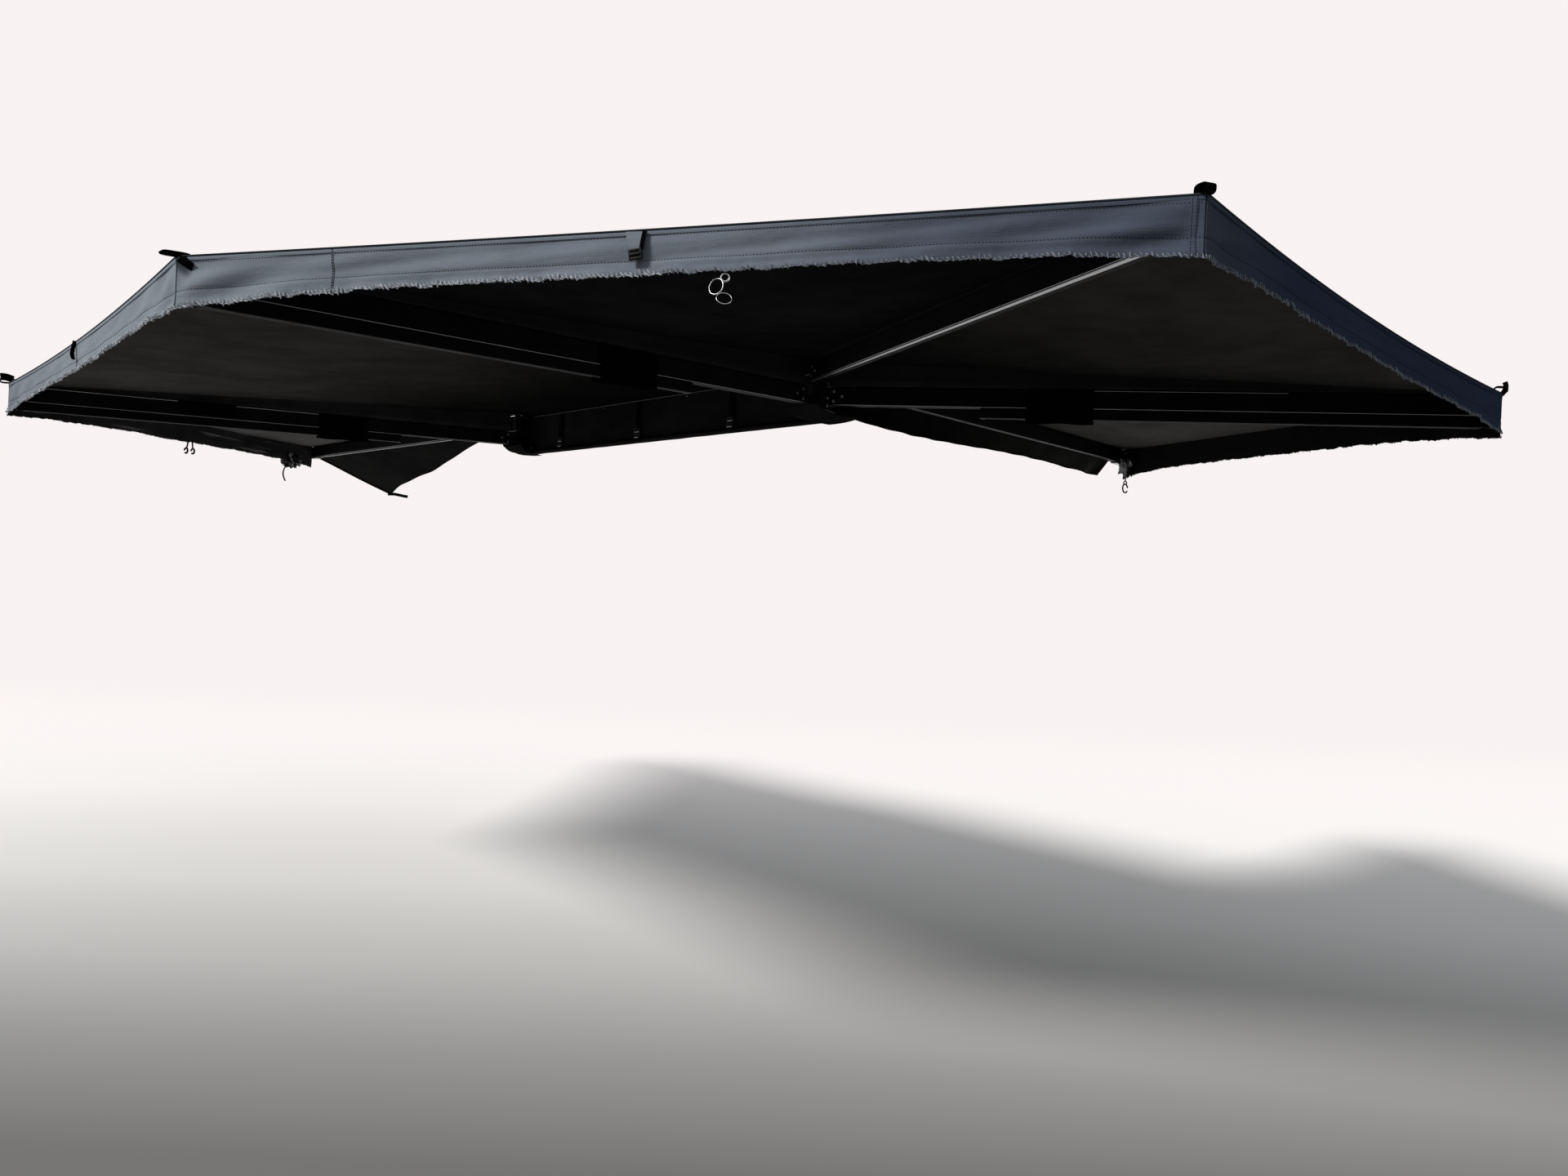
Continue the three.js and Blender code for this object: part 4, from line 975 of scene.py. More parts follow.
def flap(name, axes, shape, counts, outward, lining, hold):
    """A flap and the rolled hem of its free edge. hold fastens each of them."""
    v, u = spans((0, 1, counts[0]), (0, 1, counts[1]))
    grid = placed(shape(u, v), axes)
    bays[name] = made = cloth(f"{name}_cloth", grid, outward, (SLATE, lining))
    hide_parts(name)
    hold(made)
    hold(one_mesh(f"{name}_hem", [sweep(grid[-1], round_section(0.0030, 6))], LINING))
    print(made.name, "cloth", round(made["cloth_area"], 2), "m2")
    return grid


def hold_front(piece):
    stow(piece, "flap_front")


def hold_rear(piece):
    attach(piece, "arm_f")


axes = arm_frame("a")
grid = flap("flap_front", axes, flap_front_at, (40, 91), (0, 0, 1), LINING, hold_front)
along_arm = np.array(axes.to_3x3() @ Vector((1, 0, 0)))
binding = ribbon(grid[:, -1] - along_arm * 0.015, 0.034, 0.0034, along_arm)
sewn_on("flap_front_binding", [binding], WEBBING, "flap_front")
outwards = unit((grid[-1, -1] - grid[-4, -1]) * (1, 1, 0.10))
loose = [
    grid[-1, -1] + outwards * (0.150 * k - 0.020) + (0, 0, 0.006 * k + 0.004 * math.sin(5 * k))
    for k in np.linspace(0, 1, 12)
]
sewn_on("flap_front_tie", [ribbon(loose, 0.020, 0.0036, (0, 0, 1))], WEBBING, "flap_front")

axes = arm_frame("f")
away_from_arm = tuple(axes.to_3x3() @ Vector((0, 1, 0)))
flap("flap_rear", axes, flap_rear_at, (22, 265), away_from_arm, LIT_LINING, hold_rear)

# %% [markdown]
# ## Sleeves between the arms and the canopy
#
# The canopy rises towards the hubs while the arms stay low, so a long wedge is
# left between them. On the real awning a sleeve of black cloth closes it and
# holds the arm. Its section is a U that lies on the arm's top.

# %% Sleeves
SLEEVE_SPAN, SLEEVE_HALF, SLEEVE_TUCK = (0.058, 2.195, 80), 0.0186, 0.0022
SLEEVE_SECTION = [(-1, 1), (-1, 0.66), (-1, 0.33), (-1, 0), (0, 0), (1, 0), (1, 0.33), (1, 0.66), (1, 1)]
sleeves = []
for letter, (_, _, upper, _) in ARMS.items():
    distance = np.linspace(*SLEEVE_SPAN)
    middle, across = over_arm(letter, distance), level_ways(letter)[1]
    arm_middle = upper * LEVEL_PITCH + SET_DOWN
    arm_top = arm_middle + HALF_HEIGHT / math.cos(DROOP) - distance * math.tan(DROOP) + 0.0042
    canopy = middle[:, 2] - 0.0009
    rows = []
    for offset, rise in SLEEVE_SECTION:
        row = middle + across * offset * (SLEEVE_HALF - SLEEVE_TUCK * math.sin(math.pi * rise))
        row[:, 2] = arm_top + (canopy - arm_top) * rise
        rows.append(row)
    made = cloth(f"sleeve_{letter}", np.array(rows), (0, 0, 1), (SLEEVE_CLOTH, SLEEVE_CLOTH), 0.0010)
    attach(made, f"arm_{letter}")
    sleeves.append(made)
print("sleeves", len(sleeves))

# %% [markdown]
# ## Bag, straps and buckles
#
# The open bag hangs from the rail. It is a thin skin that bellies slightly
# between its straps and ends in a rolled edge, so its section is drawn as a path
# down the rail's face and round the roll.

# %% Bag
BAG_ENDS = (-1.0947, 1.1127)
STRAP_PLACES = {"front": 0.83, "mid": 0.15, "rear": -0.53}
STRAP_PITCH, FACE_SHARE = 0.68, 0.78
BAG_ROLL, BAG_TOP, BAG_FOOT = 0.0115, 0.040, -0.160
BAG_FACE, BAG_BELLY, BAG_ROWS = 0.0412, 0.0045, (0.05, 0.70, 0.735)


def bag_at(s, x):
    """The bag's section at each x: s from the top edge to the end of the roll."""
    belly = BAG_BELLY * np.sin((x - STRAP_PLACES["mid"]) * math.pi / STRAP_PITCH) ** 2
    crumple = hum(x * 9, s * 6, 2.0)
    straight = np.clip(s / FACE_SHARE, 0, 1)
    turn = np.clip((s - FACE_SHARE) / (1 - FACE_SHARE), 0, 1) * math.radians(300)
    centre_y, centre_z, radius = 0.0403 + BAG_ROLL, BAG_FOOT + BAG_ROLL, BAG_ROLL - 0.001
    face_y = BAG_FACE + (belly + crumple * 0.0016) * np.sin(math.pi * straight)
    face_z = BAG_TOP + (centre_z - BAG_TOP) * straight
    y = np.where(s < FACE_SHARE, face_y, centre_y - radius * np.cos(turn))
    z = np.where(s < FACE_SHARE, face_z, centre_z - radius * np.sin(turn))
    return np.stack([x, y, z + crumple * 0.0012 * s], axis=-1)


bag = cloth("bag_skin", bag_at(*spans((0, 1, 60), (*BAG_ENDS, 260))), (0, 1, 0), (BAG_CLOTH, BAG_CLOTH))
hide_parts("bag")
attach(bag, "base")
piping = [(x, 0.0440, 0.0405) for x in np.linspace(BAG_ENDS[1] - 0.004, BAG_ENDS[0] + 0.004, 60)]
fixed("bag_piping", [sweep(piping, round_section(0.0022))], SOFT_THREAD, "base")
hem_lines = [
    bag_at(np.full(300, place), np.linspace(*BAG_ENDS, 300)) + (0, 0.0012, 0) for place in BAG_ROWS
]
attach(sew("bag_stitches", hem_lines, 0.010, 0.006, 0.0011, DARK_THREAD), "base")

# %% [markdown]
# Closed, the bag also holds the hubs. So behind the front hub its end goes on
# as a flat wall, under each hub it carries a sagging pocket, and over each hub
# lies a patch that keeps the rain out. All three are short sheets of bag cloth.

# %% Bag ends, pockets and hub patches
TURN, WALL_START, WALL_FOOT, WALL_BACK = 0.012, 1.119, -0.150, 0.0024
POCKET_FLOOR, PATCH_FOOT, PATCH_RISE = -0.1575, 0.0414, 0.0171


def end_wall(lengths, low_corner, top):
    """A wall along the rail's back plane that turns outwards past a rounded corner."""
    way, s = lengths
    flat, arc = low_corner - TURN - WALL_START, math.pi * TURN / 2
    turned = np.clip((way - flat) / TURN, 0, math.pi / 2)
    fold = np.abs(0.0016 * np.sin(way * 110 + 3 * s) * s)
    x = WALL_START + np.minimum(way, flat) + TURN * np.sin(turned) - fold * np.sin(turned)
    y = WALL_BACK + TURN * (1 - np.cos(turned)) + np.maximum(way - flat - arc, 0) + fold * np.cos(turned)
    return np.stack([x, y, top + (WALL_FOOT - top) * s], axis=-1)


def pocket_under(hub, hand):
    t, s = spans((0, 1, 40), (0, 1, 40))
    folds = 0.0035 * np.sin(5 * math.pi * t + 2 * s) * np.sin(math.pi * s)
    z = POCKET_FLOOR + 0.0365 * s ** 5 + 0.012 * t ** 3 * (1 - s ** 3) + folds * (1 - s ** 4)
    if hand > 0:
        z = z + 0.045 * np.clip((t - 0.86) / 0.14, 0, 1) ** 2
    x = hand * (1.082 + 0.161 * t - 0.030 * (1 - t) * s)
    return np.stack([x, 0.004 + (hub[1] + 0.058 - 0.004) * s, z], axis=-1)


def patch_over(hub, hand):
    t, s = spans((0, 1.1 if hand > 0 else 1, 44), (0, 1, 60))
    skirt, over = np.clip(s / 0.12, 0, 1), np.clip((s - 0.12) / 0.88, 0, 1)
    inside, turned_down = np.minimum(t, 1), np.clip((t - 1) * 10, 0, 1)
    y = 0.0105 + (hub[1] + 0.062 - 0.0105) * over
    z = PATCH_FOOT + PATCH_RISE * np.sin(skirt * math.pi / 2) - 0.004 * (2 * inside - 1) ** 4 * over
    z = z - turned_down * (0.0015 + 0.0165 * np.clip((0.086 - y) / 0.010, 0, 1) * skirt)
    return np.stack([hand * (1.062 + 0.180 * inside), y, z + 0.0006 * np.sin(7 * t + 4 * s)], axis=-1)


wall = end_wall(spans((0, 0.166, 60), (0, 1, 30)), 1.2405, 0.052)
made = cloth("bag_end", wall, (0, 1, 0), (BAG_CLOTH, BAG_CLOTH))
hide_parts("bag")
wall = end_wall(spans((0, 0.108, 40), (0, 1, 24)), 1.240, -0.043) * (-1, 1, 1) + (0, 0.004, 0)
bag_parts = [bag, made, cloth("bag_end_rear", wall, (0, 1, 0), (BAG_CLOTH, BAG_CLOTH))]
for name, hub, hand in (("front", FRONT_HUB, 1), ("rear", REAR_HUB, -1)):
    pocket = pocket_under(hub, hand)
    # Painted shade: the pockets and their rims take the darker black lining, not the bag's cloth, so that
    # they stay dark where the pale floor lights them from below.
    bag_parts.append(cloth(f"hub_pocket_{name}", pocket, (0, 0, -1), (LINING, LINING)))
    outline = np.concatenate([pocket[:, -1], pocket[-1, ::-1]])
    fixed(f"hub_pocket_rim_{name}", [sweep(outline, round_section(0.0034))], LINING, "base")
    bag_parts.append(cloth(f"hub_patch_{name}", patch_over(hub, hand), (0, 0, 1), (SLATE, LINING)))
for made in bag_parts[1:]:
    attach(made, "base")
print("bag parts", len(bag_parts))

# %% [markdown]
# Buckles and shoes are small solid things. `rounded_block` bevels a box into a
# moulding, and several such blocks make one buckle.

# %% Small solids
def rounded_block(size, centre, bevel=0.0015, axes=Matrix.Identity(4)):
    work = bmesh.new()
    bmesh.ops.create_cube(work, size=1)
    bmesh.ops.scale(work, vec=size, verts=work.verts)
    bmesh.ops.bevel(work, geom=work.edges[:], offset=bevel, segments=2, affect="EDGES", profile=0.6)
    bmesh.ops.translate(work, vec=Vector(centre), verts=work.verts)
    bmesh.ops.transform(work, matrix=axes, verts=work.verts)
    work.verts.index_update()
    points = [tuple(vertex.co) for vertex in work.verts]
    faces = [tuple(vertex.index for vertex in face.verts) for face in work.faces]
    work.free()
    return points, faces, [(p[0] + p[1], p[2]) for p in points]


STRAP_FACE, BUCKLE_HEIGHT = 0.0436, -0.107
BUCKLE = [
    ((0.050, 0.009, 0.024), (0, 0.0055, 0.011), 0.0028),
    ((0.046, 0.008, 0.020), (0, 0.0050, -0.013), 0.0026),
    ((0.008, 0.0075, 0.030), (-0.0215, 0.0050, 0), 0.0020),
    ((0.008, 0.0075, 0.030), (0.0215, 0.0050, 0), 0.0020),
    ((0.040, 0.0028, 0.005), (0, 0.0098, 0.016), 0.0010),
]
SLIDERS = [
    ((0.034, 0.0030, 0.0030), (0.001, 0.0105, -0.024), 0.0012),
    ((0.034, 0.0030, 0.0030), (-0.002, 0.0105, 0.001), 0.0012),
]


def blocks(table, seat=(0, 0, 0), axes=Matrix.Identity(4)):
    """A moulding from (size, centre, bevel) rows."""
    return [rounded_block(size, np.add(seat, centre), bevel, axes) for size, centre, bevel in table]


for name, x in STRAP_PLACES.items():
    path = [
        (x, STRAP_FACE + 0.0013 + 0.004 * math.sin(math.pi * t) ** 2, 0.036 - 0.160 * t)
        for t in np.linspace(0, 1, 24)
    ]
    seat = (x, STRAP_FACE, BUCKLE_HEIGHT)
    strap = one_mesh(f"strap_{name}", [ribbon(path, 0.038, 0.0024, (1, 0, 0))], WEBBING)
    buckle = one_mesh(f"buckle_{name}", blocks(BUCKLE, seat), MOULDED)
    slider = one_mesh(f"strap_slider_{name}", blocks(SLIDERS, seat), ZINC)
    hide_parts(f"bag_strap_{name}")
    for piece in (strap, buckle, slider):
        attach(piece, "base")

# %% [markdown]
# ## Wraps round the arms
#
# A band of black cloth goes over each arm that has a leg, and its sides hang
# down past the leg. The section is an upside-down U with rounded corners, and
# its free edges wander a little, as worn cloth does.

# %% Wraps
def wrap_at(t, x, bottom, seed):
    """t goes from one free edge over the arm to the other; x along the arm."""
    half, top, corner = 0.0218, 0.0350, 0.006
    side, arc, flat = top - bottom - corner, math.pi * corner / 2, 2 * (half - corner)
    s = t * (2 * side + 2 * arc + flat)
    first, second = (s - side) / corner, (s - side - arc - flat) / corner
    parts = [s < limit for limit in np.cumsum((side, arc, flat, arc))]
    y = np.select(parts, [
        np.full_like(s, -half), -half + corner - corner * np.cos(first),
        -half + corner + (s - side - arc), half - corner + corner * np.sin(second),
    ], half)
    z = np.select(parts, [
        bottom + s, top - corner + corner * np.sin(first),
        np.full_like(s, top), top - corner + corner * np.cos(second),
    ], top - corner - (s - side - 2 * arc - flat))
    loose = np.clip(-(z + 0.030) / 0.05, 0, 1)
    lift = hum(x * 14, seed + np.where(y > 0, 1, 5))
    z = z + lift * 0.004 * loose
    y = y + np.sign(y) * (0.0006 + np.abs(lift) * 0.0016 * loose)
    return np.stack([x, y, z], axis=-1)


WRAPS = {
    "wrap_b": ("b", 0.775, 0.230, -0.0785), "wrap_c": ("c", 0.775, 0.230, -0.0785),
    "wrap_e": ("e", 0.775, 0.230, -0.0785), "wrap_b_outer": ("b", 1.365, 0.240, -0.0190),
}
WRAP_COUNTS, WRAP_INSET, WRAP_STITCH = (34, 61), 0.008, (0.008, 0.005, 0.0040)
wraps = []
for name, (letter, start, length, bottom) in WRAPS.items():
    axes = arm_frame(letter)
    x, t = spans((start, start + length, WRAP_COUNTS[0]), (0, 1, WRAP_COUNTS[1]))
    outward = tuple(axes.to_3x3() @ Vector((0, 0, 1)))
    grid = placed(wrap_at(t, x, bottom, start), axes)
    made = cloth(f"{name}_cloth", grid, outward, (WEBBING, WEBBING), 0.0022)
    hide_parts(name)
    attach(made, f"arm_{letter}")
    wraps.append(made)
    edges = [
        placed(wrap_at(np.linspace(0, 1, 90), np.full(90, end), bottom, start), axes)
        for end in (start + WRAP_INSET, start + length - WRAP_INSET)
    ]
    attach(sew(f"{name}_stitches", edges, *WRAP_STITCH, DARK_THREAD), f"arm_{letter}")

# %% [markdown]
# ## Painted edge highlights and end shoes
#
# Bright lines along the long edges of the arms, against the dark cloth, are
# painted highlights: a bead of bright alloy is swept along each edge. The upper
# arms also get a painted highlight track on the underside, arms b and e a short
# one along their top edges, and the two outermost arms end in a light alloy shoe.

# %% Painted arm edge highlights and shoes
UNDERSIDE_HIGHLIGHT = {"a": (0.011, -0.012, 0.6), "d": (0.018, -0.009, 0.42), "f": (0.0032, -0.013, 0.8)}
TOP_HIGHLIGHT = {"b": (0.90, ARM_REACH - 0.05), "e": (0.98, 1.62)}
LIP_START, LIP_STOP = 0.060, ARM_REACH - 0.012
WIDE_LIP, LIP, THIN_LIP, TOP_LIP = 0.0016, 0.0013, 0.0008, 0.0011
# Painted highlights: bright alloy beads stand for light caught on the edges of the black arms.
for letter in ARMS:
    axes = arm_frame(letter)
    narrow = THIN_LIP if letter in "be" else LIP
    highlight_lines = [(-1, -1, WIDE_LIP, LIP_START, LIP_STOP), (1, -1, narrow, LIP_START, LIP_STOP)]
    if letter in TOP_HIGHLIGHT:
        highlight_lines += [(hand, 1, TOP_LIP, *TOP_HIGHLIGHT[letter]) for hand in (-1, 1)]
    if letter in UNDERSIDE_HIGHLIGHT:
        highlight_lines = [(hand, -1, THIN_LIP, LIP_START, LIP_STOP) for hand in (-1, 1)]
    beads = []
    for hand, level, radius, first, last in highlight_lines:
        y, z = hand * (HALF_WIDTH - 0.0002), level * (HALF_HEIGHT - 0.0022)
        path = [(x, y, z) for x in np.linspace(first, last, 40)]
        beads.append(moved(sweep(path, round_section(radius, 6), (0, 1, 0)), axes))
    if letter in UNDERSIDE_HIGHLIGHT:
        width, offset, narrowed = UNDERSIDE_HIGHLIGHT[letter]
        path = [(x, offset, -HALF_HEIGHT - 0.0003) for x in np.linspace(LIP_START, LIP_STOP, 40)]
        beads.append(moved(ribbon(path, width, 0.0016, (0, 1, 0), taper=(narrowed, 1)), axes))
    fixed(f"arm_edge_highlight_{letter}", beads, HIGHLIGHT_ALLOY, f"arm_{letter}")
for letter in "af":
    centre = (ARM_REACH - 0.030, 0, -HALF_HEIGHT - 0.0045)
    shoe = rounded_block((0.070, 0.036, 0.008), centre, 0.0024, arm_frame(letter))
    fixed(f"end_shoe_{letter}", [shoe], HIGHLIGHT_ALLOY, f"arm_{letter}")
print("arm lips", len(ARMS))

# %% [markdown]
# ## Loops on the corners
#
# A loop of webbing stands on each outer corner for a guy rope, and its two tails
# are sewn down on the canopy.

# %% Corner loops
LOOPS = {
    "b": (0.026, 0.0090, 0.0050, 0.012), "c": (0.030, 0.0030, 0.0046, 0.012),
    "d": (0.01775, 0.00975, 0.0024, 0), "e": (0.01775, 0.00975, 0.0036, 0),
}
for letter, (half_length, bulge, thickness, shift) in LOOPS.items():
    out, side = level_ways(letter)
    seat = over_arm(letter, ARM_REACH + 0.020)
    slope = math.atan(over_arm(letter, 0.5)[2] - over_arm(letter, 1.5)[2])
    down = out * math.cos(slope) - np.array((0, 0, math.sin(slope)))
    up = np.cross(down, side)
    centre = seat + up * (0.0023 + bulge + thickness / 2) + down * shift
    turns = np.linspace(0, 2 * math.pi, 40, endpoint=False)
    x = half_length * np.sign(np.cos(turns)) * np.abs(np.cos(turns)) ** 0.55
    z = bulge * np.sign(np.sin(turns)) * np.abs(np.sin(turns)) ** 0.7
    tail = [
        seat + up * (0.0036 + 0.0006 * math.sin(4 * t)) - down * (0.004 + 0.085 * t)
        for t in np.linspace(0, 1, 14)
    ]
    parts = [
        ribbon(centre + np.outer(x, down) + np.outer(z, up), 0.025, thickness, side, closed=True),
        ribbon(tail, 0.025, 0.0022, side),
    ]
    along = np.linspace(0, 1, 10)
    if letter == "b":
        flag = [centre + down * (0.045 * t - 0.020) + up * (0.006 + 0.010 * math.sin(2 * t)) for t in along]
        parts.append(ribbon(flag, 0.030, 0.0030, up))
    if letter == "e":
        flag = [seat + up * (0.040 * t) + down * (0.010 * math.sin(2.6 * t) + 0.004) for t in along]
        parts.append(ribbon(flag, 0.015, 0.0030, down))
    loop = one_mesh(f"loop_{letter}", parts, WEBBING)
    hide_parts(f"tip_loop_{letter}")
    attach(loop, f"arm_{letter}")

# %% [markdown]
# ## Small trims on the valances
#
# The long valance carries a sewn tab with a ladder buckle, and a cloth seam at
# each place where two lengths meet. A loop stands at the middle of the front
# edge. Snap hooks, rings and a knotted strap hang from the hems. Each one is
# placed on the valance's own function, so that it touches the cloth.

# %% Where a trim sits
def on_valance(pair, u, v, proud=0.0):
    return valance_at(*pair, np.array([u]), np.array([v]), proud)[0]


def valance_axes(pair, u, v, proud=0.0):
    """A frame on a valance: x along the edge, y outwards, z up."""
    turn = Matrix((along_edge(pair), -inward_of(*pair), (0, 0, 1))).transposed().to_4x4()
    return Matrix.Translation(Vector(on_valance(pair, u, v, proud))) @ turn


JOINS = {
    "join_c": ("cd", 0.178, "cd", 0.005, (0.0, 0.0015), 0.0012),
    "join_b": ("bc", 0.494, "bc_front", 0.005, (0.0,), 0.001),
    "corner_seam_d": ("cd", 0.9915, "cd", 0.014, (-0.0045, 0.0045), 0.0),
}
for name, (pair, u, key, width, stitches, lean) in JOINS.items():
    depth = np.linspace(0.0, 0.995, 24)
    line = valance_at(*pair, u + lean * np.sin(math.pi * depth) ** 2, depth, 0.0012)
    sewn_on(name, [ribbon(line, width, 0.0014, along_edge(pair))], SUN_SHADED_SLATE, key)
    rows = [line + along_edge(pair) * offset - inward_of(*pair) * 0.0009 for offset in stitches]
    stow(sew(f"{name}_stitch", rows, 0.0060, 0.0056, 0.0018, DARK_THREAD), key)

# %% [markdown]
# The tab is a trapezoid of cloth that narrows downwards. A small ladder buckle
# hangs in it, a little askew, and a strap's tail comes down beside it.

# %% Tab with ladder buckle
axes = valance_axes("cd", 0.497, 0.03, 0.0034)
t, s = spans((-1, 1, 14), (0, 1, 12))
bulge = 0.0016 + 0.0040 * np.sin(math.pi * s / 2)
grid = np.stack([t * (0.0245 - 0.0105 * s), bulge, 0.002 - 0.038 * s], axis=-1)
tab = cloth("valance_tab", placed(grid, axes), -inward_of("c", "d"), (SUN_SHADED_SLATE, SUN_SHADED_SLATE), 0.0016)
askew = axes @ Matrix.Translation((-0.001, 0.0058, -0.047)) @ Matrix.Rotation(math.radians(9), 4, "Y")
LADDER = [
    ((0.027, 0.0070, 0.0055), (0, 0, 0.0085), 0.0018),
    ((0.025, 0.0085, 0.0060), (0, 0.0010, -0.0005), 0.0018),
    ((0.027, 0.0070, 0.0060), (0, 0, -0.0095), 0.0018),
    ((0.0050, 0.0070, 0.0240), (-0.0125, 0, -0.0005), 0.0016),
    ((0.0050, 0.0070, 0.0240), (0.0125, 0, -0.0005), 0.0016),
    ((0.0200, 0.0040, 0.0200), (0, -0.0010, 0), 0.0012),
]
ladder = one_mesh("ladder_buckle", blocks(LADDER, axes=askew), MOULDED)
path = [
    (-0.019 + 0.005 * k, 0.0030 + 0.004 * math.sin(2.2 * k), 0.003 - 0.040 * k) for k in np.linspace(0, 1, 14)
]
tail = one_mesh("ladder_tail", [moved(ribbon(path, 0.010, 0.0020, (1, 0, 0)), axes)], WEBBING)
for piece in (tab, ladder, tail):
    stow(piece, "cd")

# %% [markdown]
# Rings and snap hooks are wire. A wire is a round section swept along a closed
# or open path, so one helper makes them all.

# %% Rings, hooks, loop and knot
def ring_path(centre, radius, tilt, stretch=1.0, part=1.0):
    turn = Matrix.Rotation(tilt[0], 3, "X") @ Matrix.Rotation(tilt[1], 3, "Z")
    angles = np.linspace(0, 2 * math.pi * part, 26, endpoint=part < 1)
    ring = [turn @ Vector((radius * math.cos(a), 0, stretch * radius * math.sin(a))) for a in angles]
    return np.array(ring) + centre


def wire(path, radius, closed, axes):
    return moved(sweep(path, round_section(radius), closed=closed), axes)


axes = valance_axes("cd", 0.5825, 0.90, -0.010)
sewn_on("hem_rings", [
    wire(ring_path((-0.001, 0, -0.020), 0.0090, (0.1, 0.2)), 0.0022, True, axes),
    wire(ring_path((0.017, 0.003, -0.040), 0.0175, (0.15, -0.3)), 0.0011, True, axes),
    wire(ring_path((0.000, -0.002, -0.064), 0.0165, (0.5, 0.3), 0.9), 0.0008, True, axes),
], ZINC, "cd")

axes = valance_axes("bc", 0.497, 0.22, 0.0045)
a = np.linspace(0, 2 * math.pi, 30, endpoint=False)
path = np.stack([
    0.010 * np.sin(a) * np.abs(np.sin(a)) ** 0.3,
    0.004 + 0.008 * (1 - np.cos(a)) / 2 * np.sin(a) ** 2,
    -0.006 + 0.030 * np.cos(a),
], axis=-1)
sewn_on("edge_loop", [moved(ribbon(path, 0.010, 0.0022, (0, 1, 0), closed=True), axes)], WEBBING, "bc_front")

for name, u, hang, slant in (("edge_hook_1", 0.524, 0.040, 0.007), ("edge_hook_2", 0.536, 0.042, -0.016)):
    axes = valance_axes("ab", u, 0.96, -0.001)
    path = [(slant * k, 0, 0.006 - (hang + 0.006) * k) for k in np.linspace(0, 1, 8)]
    bow = ring_path((slant * 1.2, 0, -hang - 0.010), 0.0105, (0.0, 1.35), 1.25, 0.85)
    parts = [moved(ribbon(path, 0.011, 0.0045, (1, 0, 0)), axes), wire(bow, 0.0046, False, axes)]
    sewn_on(name, parts, WEBBING, "ab")

axes = valance_axes("ef", 0.990, 0.94, 0.001)
path = [(0, 0, 0.010 - 0.034 * k) for k in np.linspace(0, 1, 8)]
sewn_on("hook_strap_f", [moved(ribbon(path, 0.012, 0.0020, (1, 0, 0)), axes)], WEBBING, "ef")
sewn_on("snap_hook_f", [
    wire(ring_path((0, 0, -0.030), 0.0075, (0.2, 1.2)), 0.0030, True, axes),
    wire(ring_path((0.001, 0, -0.058), 0.0115, (0.1, 1.1), 1.9, 0.9), 0.0038, False, axes),
], MOULDED, "ef")

path = [
    on_valance("cd", 0.004 + 0.014 * k, 0.01 + 0.20 * k, 0.0030 + 0.003 * math.sin(3 * k))
    for k in np.linspace(0, 1, 12)
]
sewn_on("corner_tail_c", [ribbon(path, 0.022, 0.0024, along_edge("cd"))], WEBBING, "cd")

# %% [markdown]
# At the first corner the spare cloth is bunched up in a knot, and the thin strap
# that ties it hangs down. The knot is a ball whose surface is pushed about by
# noise, in folds that run round it.

# %% Knotted cloth and strap
def crumpled_ball(name, centre, radii, finish, seed):
    work = bmesh.new()
    bmesh.ops.create_icosphere(work, subdivisions=5, radius=1.0)
    for vertex in work.verts:
        p = vertex.co.copy()
        fold = noise.noise(Vector((p.x * 3.8 + seed, p.y * 3.8, p.z * 1.5))) * 0.46
        crease = abs(noise.noise(Vector((p.x * 7.0, p.y * 7.0 + seed, p.z * 2.6)))) * 0.40
        stretched = Vector((p.x * radii[0], p.y * radii[1], p.z * radii[2]))
        vertex.co = Vector(centre) + stretched * (0.82 + fold + crease)
    data = bpy.data.meshes.new(name)
    work.to_mesh(data)
    work.free()
    data.polygons.foreach_set("use_smooth", [True] * len(data.polygons))
    data.uv_layers.new(name="UVMap")
    made = link(name, data)
    data.materials.append(finish)
    return made


KNOTS = {"a": ("ab", 0.120, 0.97, (0.046, 0.058, 0.045)), "f": ("ef", 0.958, 0.58, (0.045, 0.045, 0.060))}
for letter, (pair, u, v, radii) in KNOTS.items():
    centre = on_valance(pair, u, v, -0.010)
    stow(crumpled_ball(f"corner_knot_{letter}", centre, radii, HIGHLIT_KNOT_CLOTH, 4.0), pair)
axes = valance_axes("ab", 0.131, 1.12, -0.004)
path = [
    (0.004 - 0.034 * math.sin(1.9 * k), 0.020 * math.sin(3 * k), 0.008 - 0.120 * k)
    for k in np.linspace(0, 1, 24)
]
sewn_on("tie_strap_a", [moved(ribbon(path, 0.011, 0.0018, (0.3, 1, 0)), axes)], WEBBING, "ab")

# %% [markdown]
# ## Bolts
#
# Cap screws hold the arms' knuckles and the hub blocks. They repeat, so they
# come from one tree: a head on each point, turned to the point's own direction.

# %% Bolt tree
def bolt_tree():
    grow = Grower("bolts", "Finish", Radius=0.005, Height=0.004)
    radius, height = grow.given("Radius"), grow.given("Height")
    washer = {"Vertices": 12, "Radius": radius * 1.45, "Depth": height * 0.3}
    head = {"Vertices": 6, "Radius Bottom": radius, "Radius Top": radius * 0.82, "Depth": height}
    both = grow.tree.nodes.new("GeometryNodeJoinGeometry")
    for kind, values in (("Cylinder", washer), ("Cone", head)):
        grow.feed(both.inputs[0], grow.node(f"GeometryNodeMesh{kind}", {}, values))
    way = {"data_type": "FLOAT_VECTOR"}
    way = grow.node("GeometryNodeInputNamedAttribute", way, {"Name": "outwards"}, out="Attribute")
    turn = grow.node("FunctionNodeAlignRotationToVector", {"axis": "Z"}, {"Vector": way})
    return grow.finish(Points=grow.given("Geometry"), Instance=Tap(grow, both.outputs[0]), Rotation=turn)


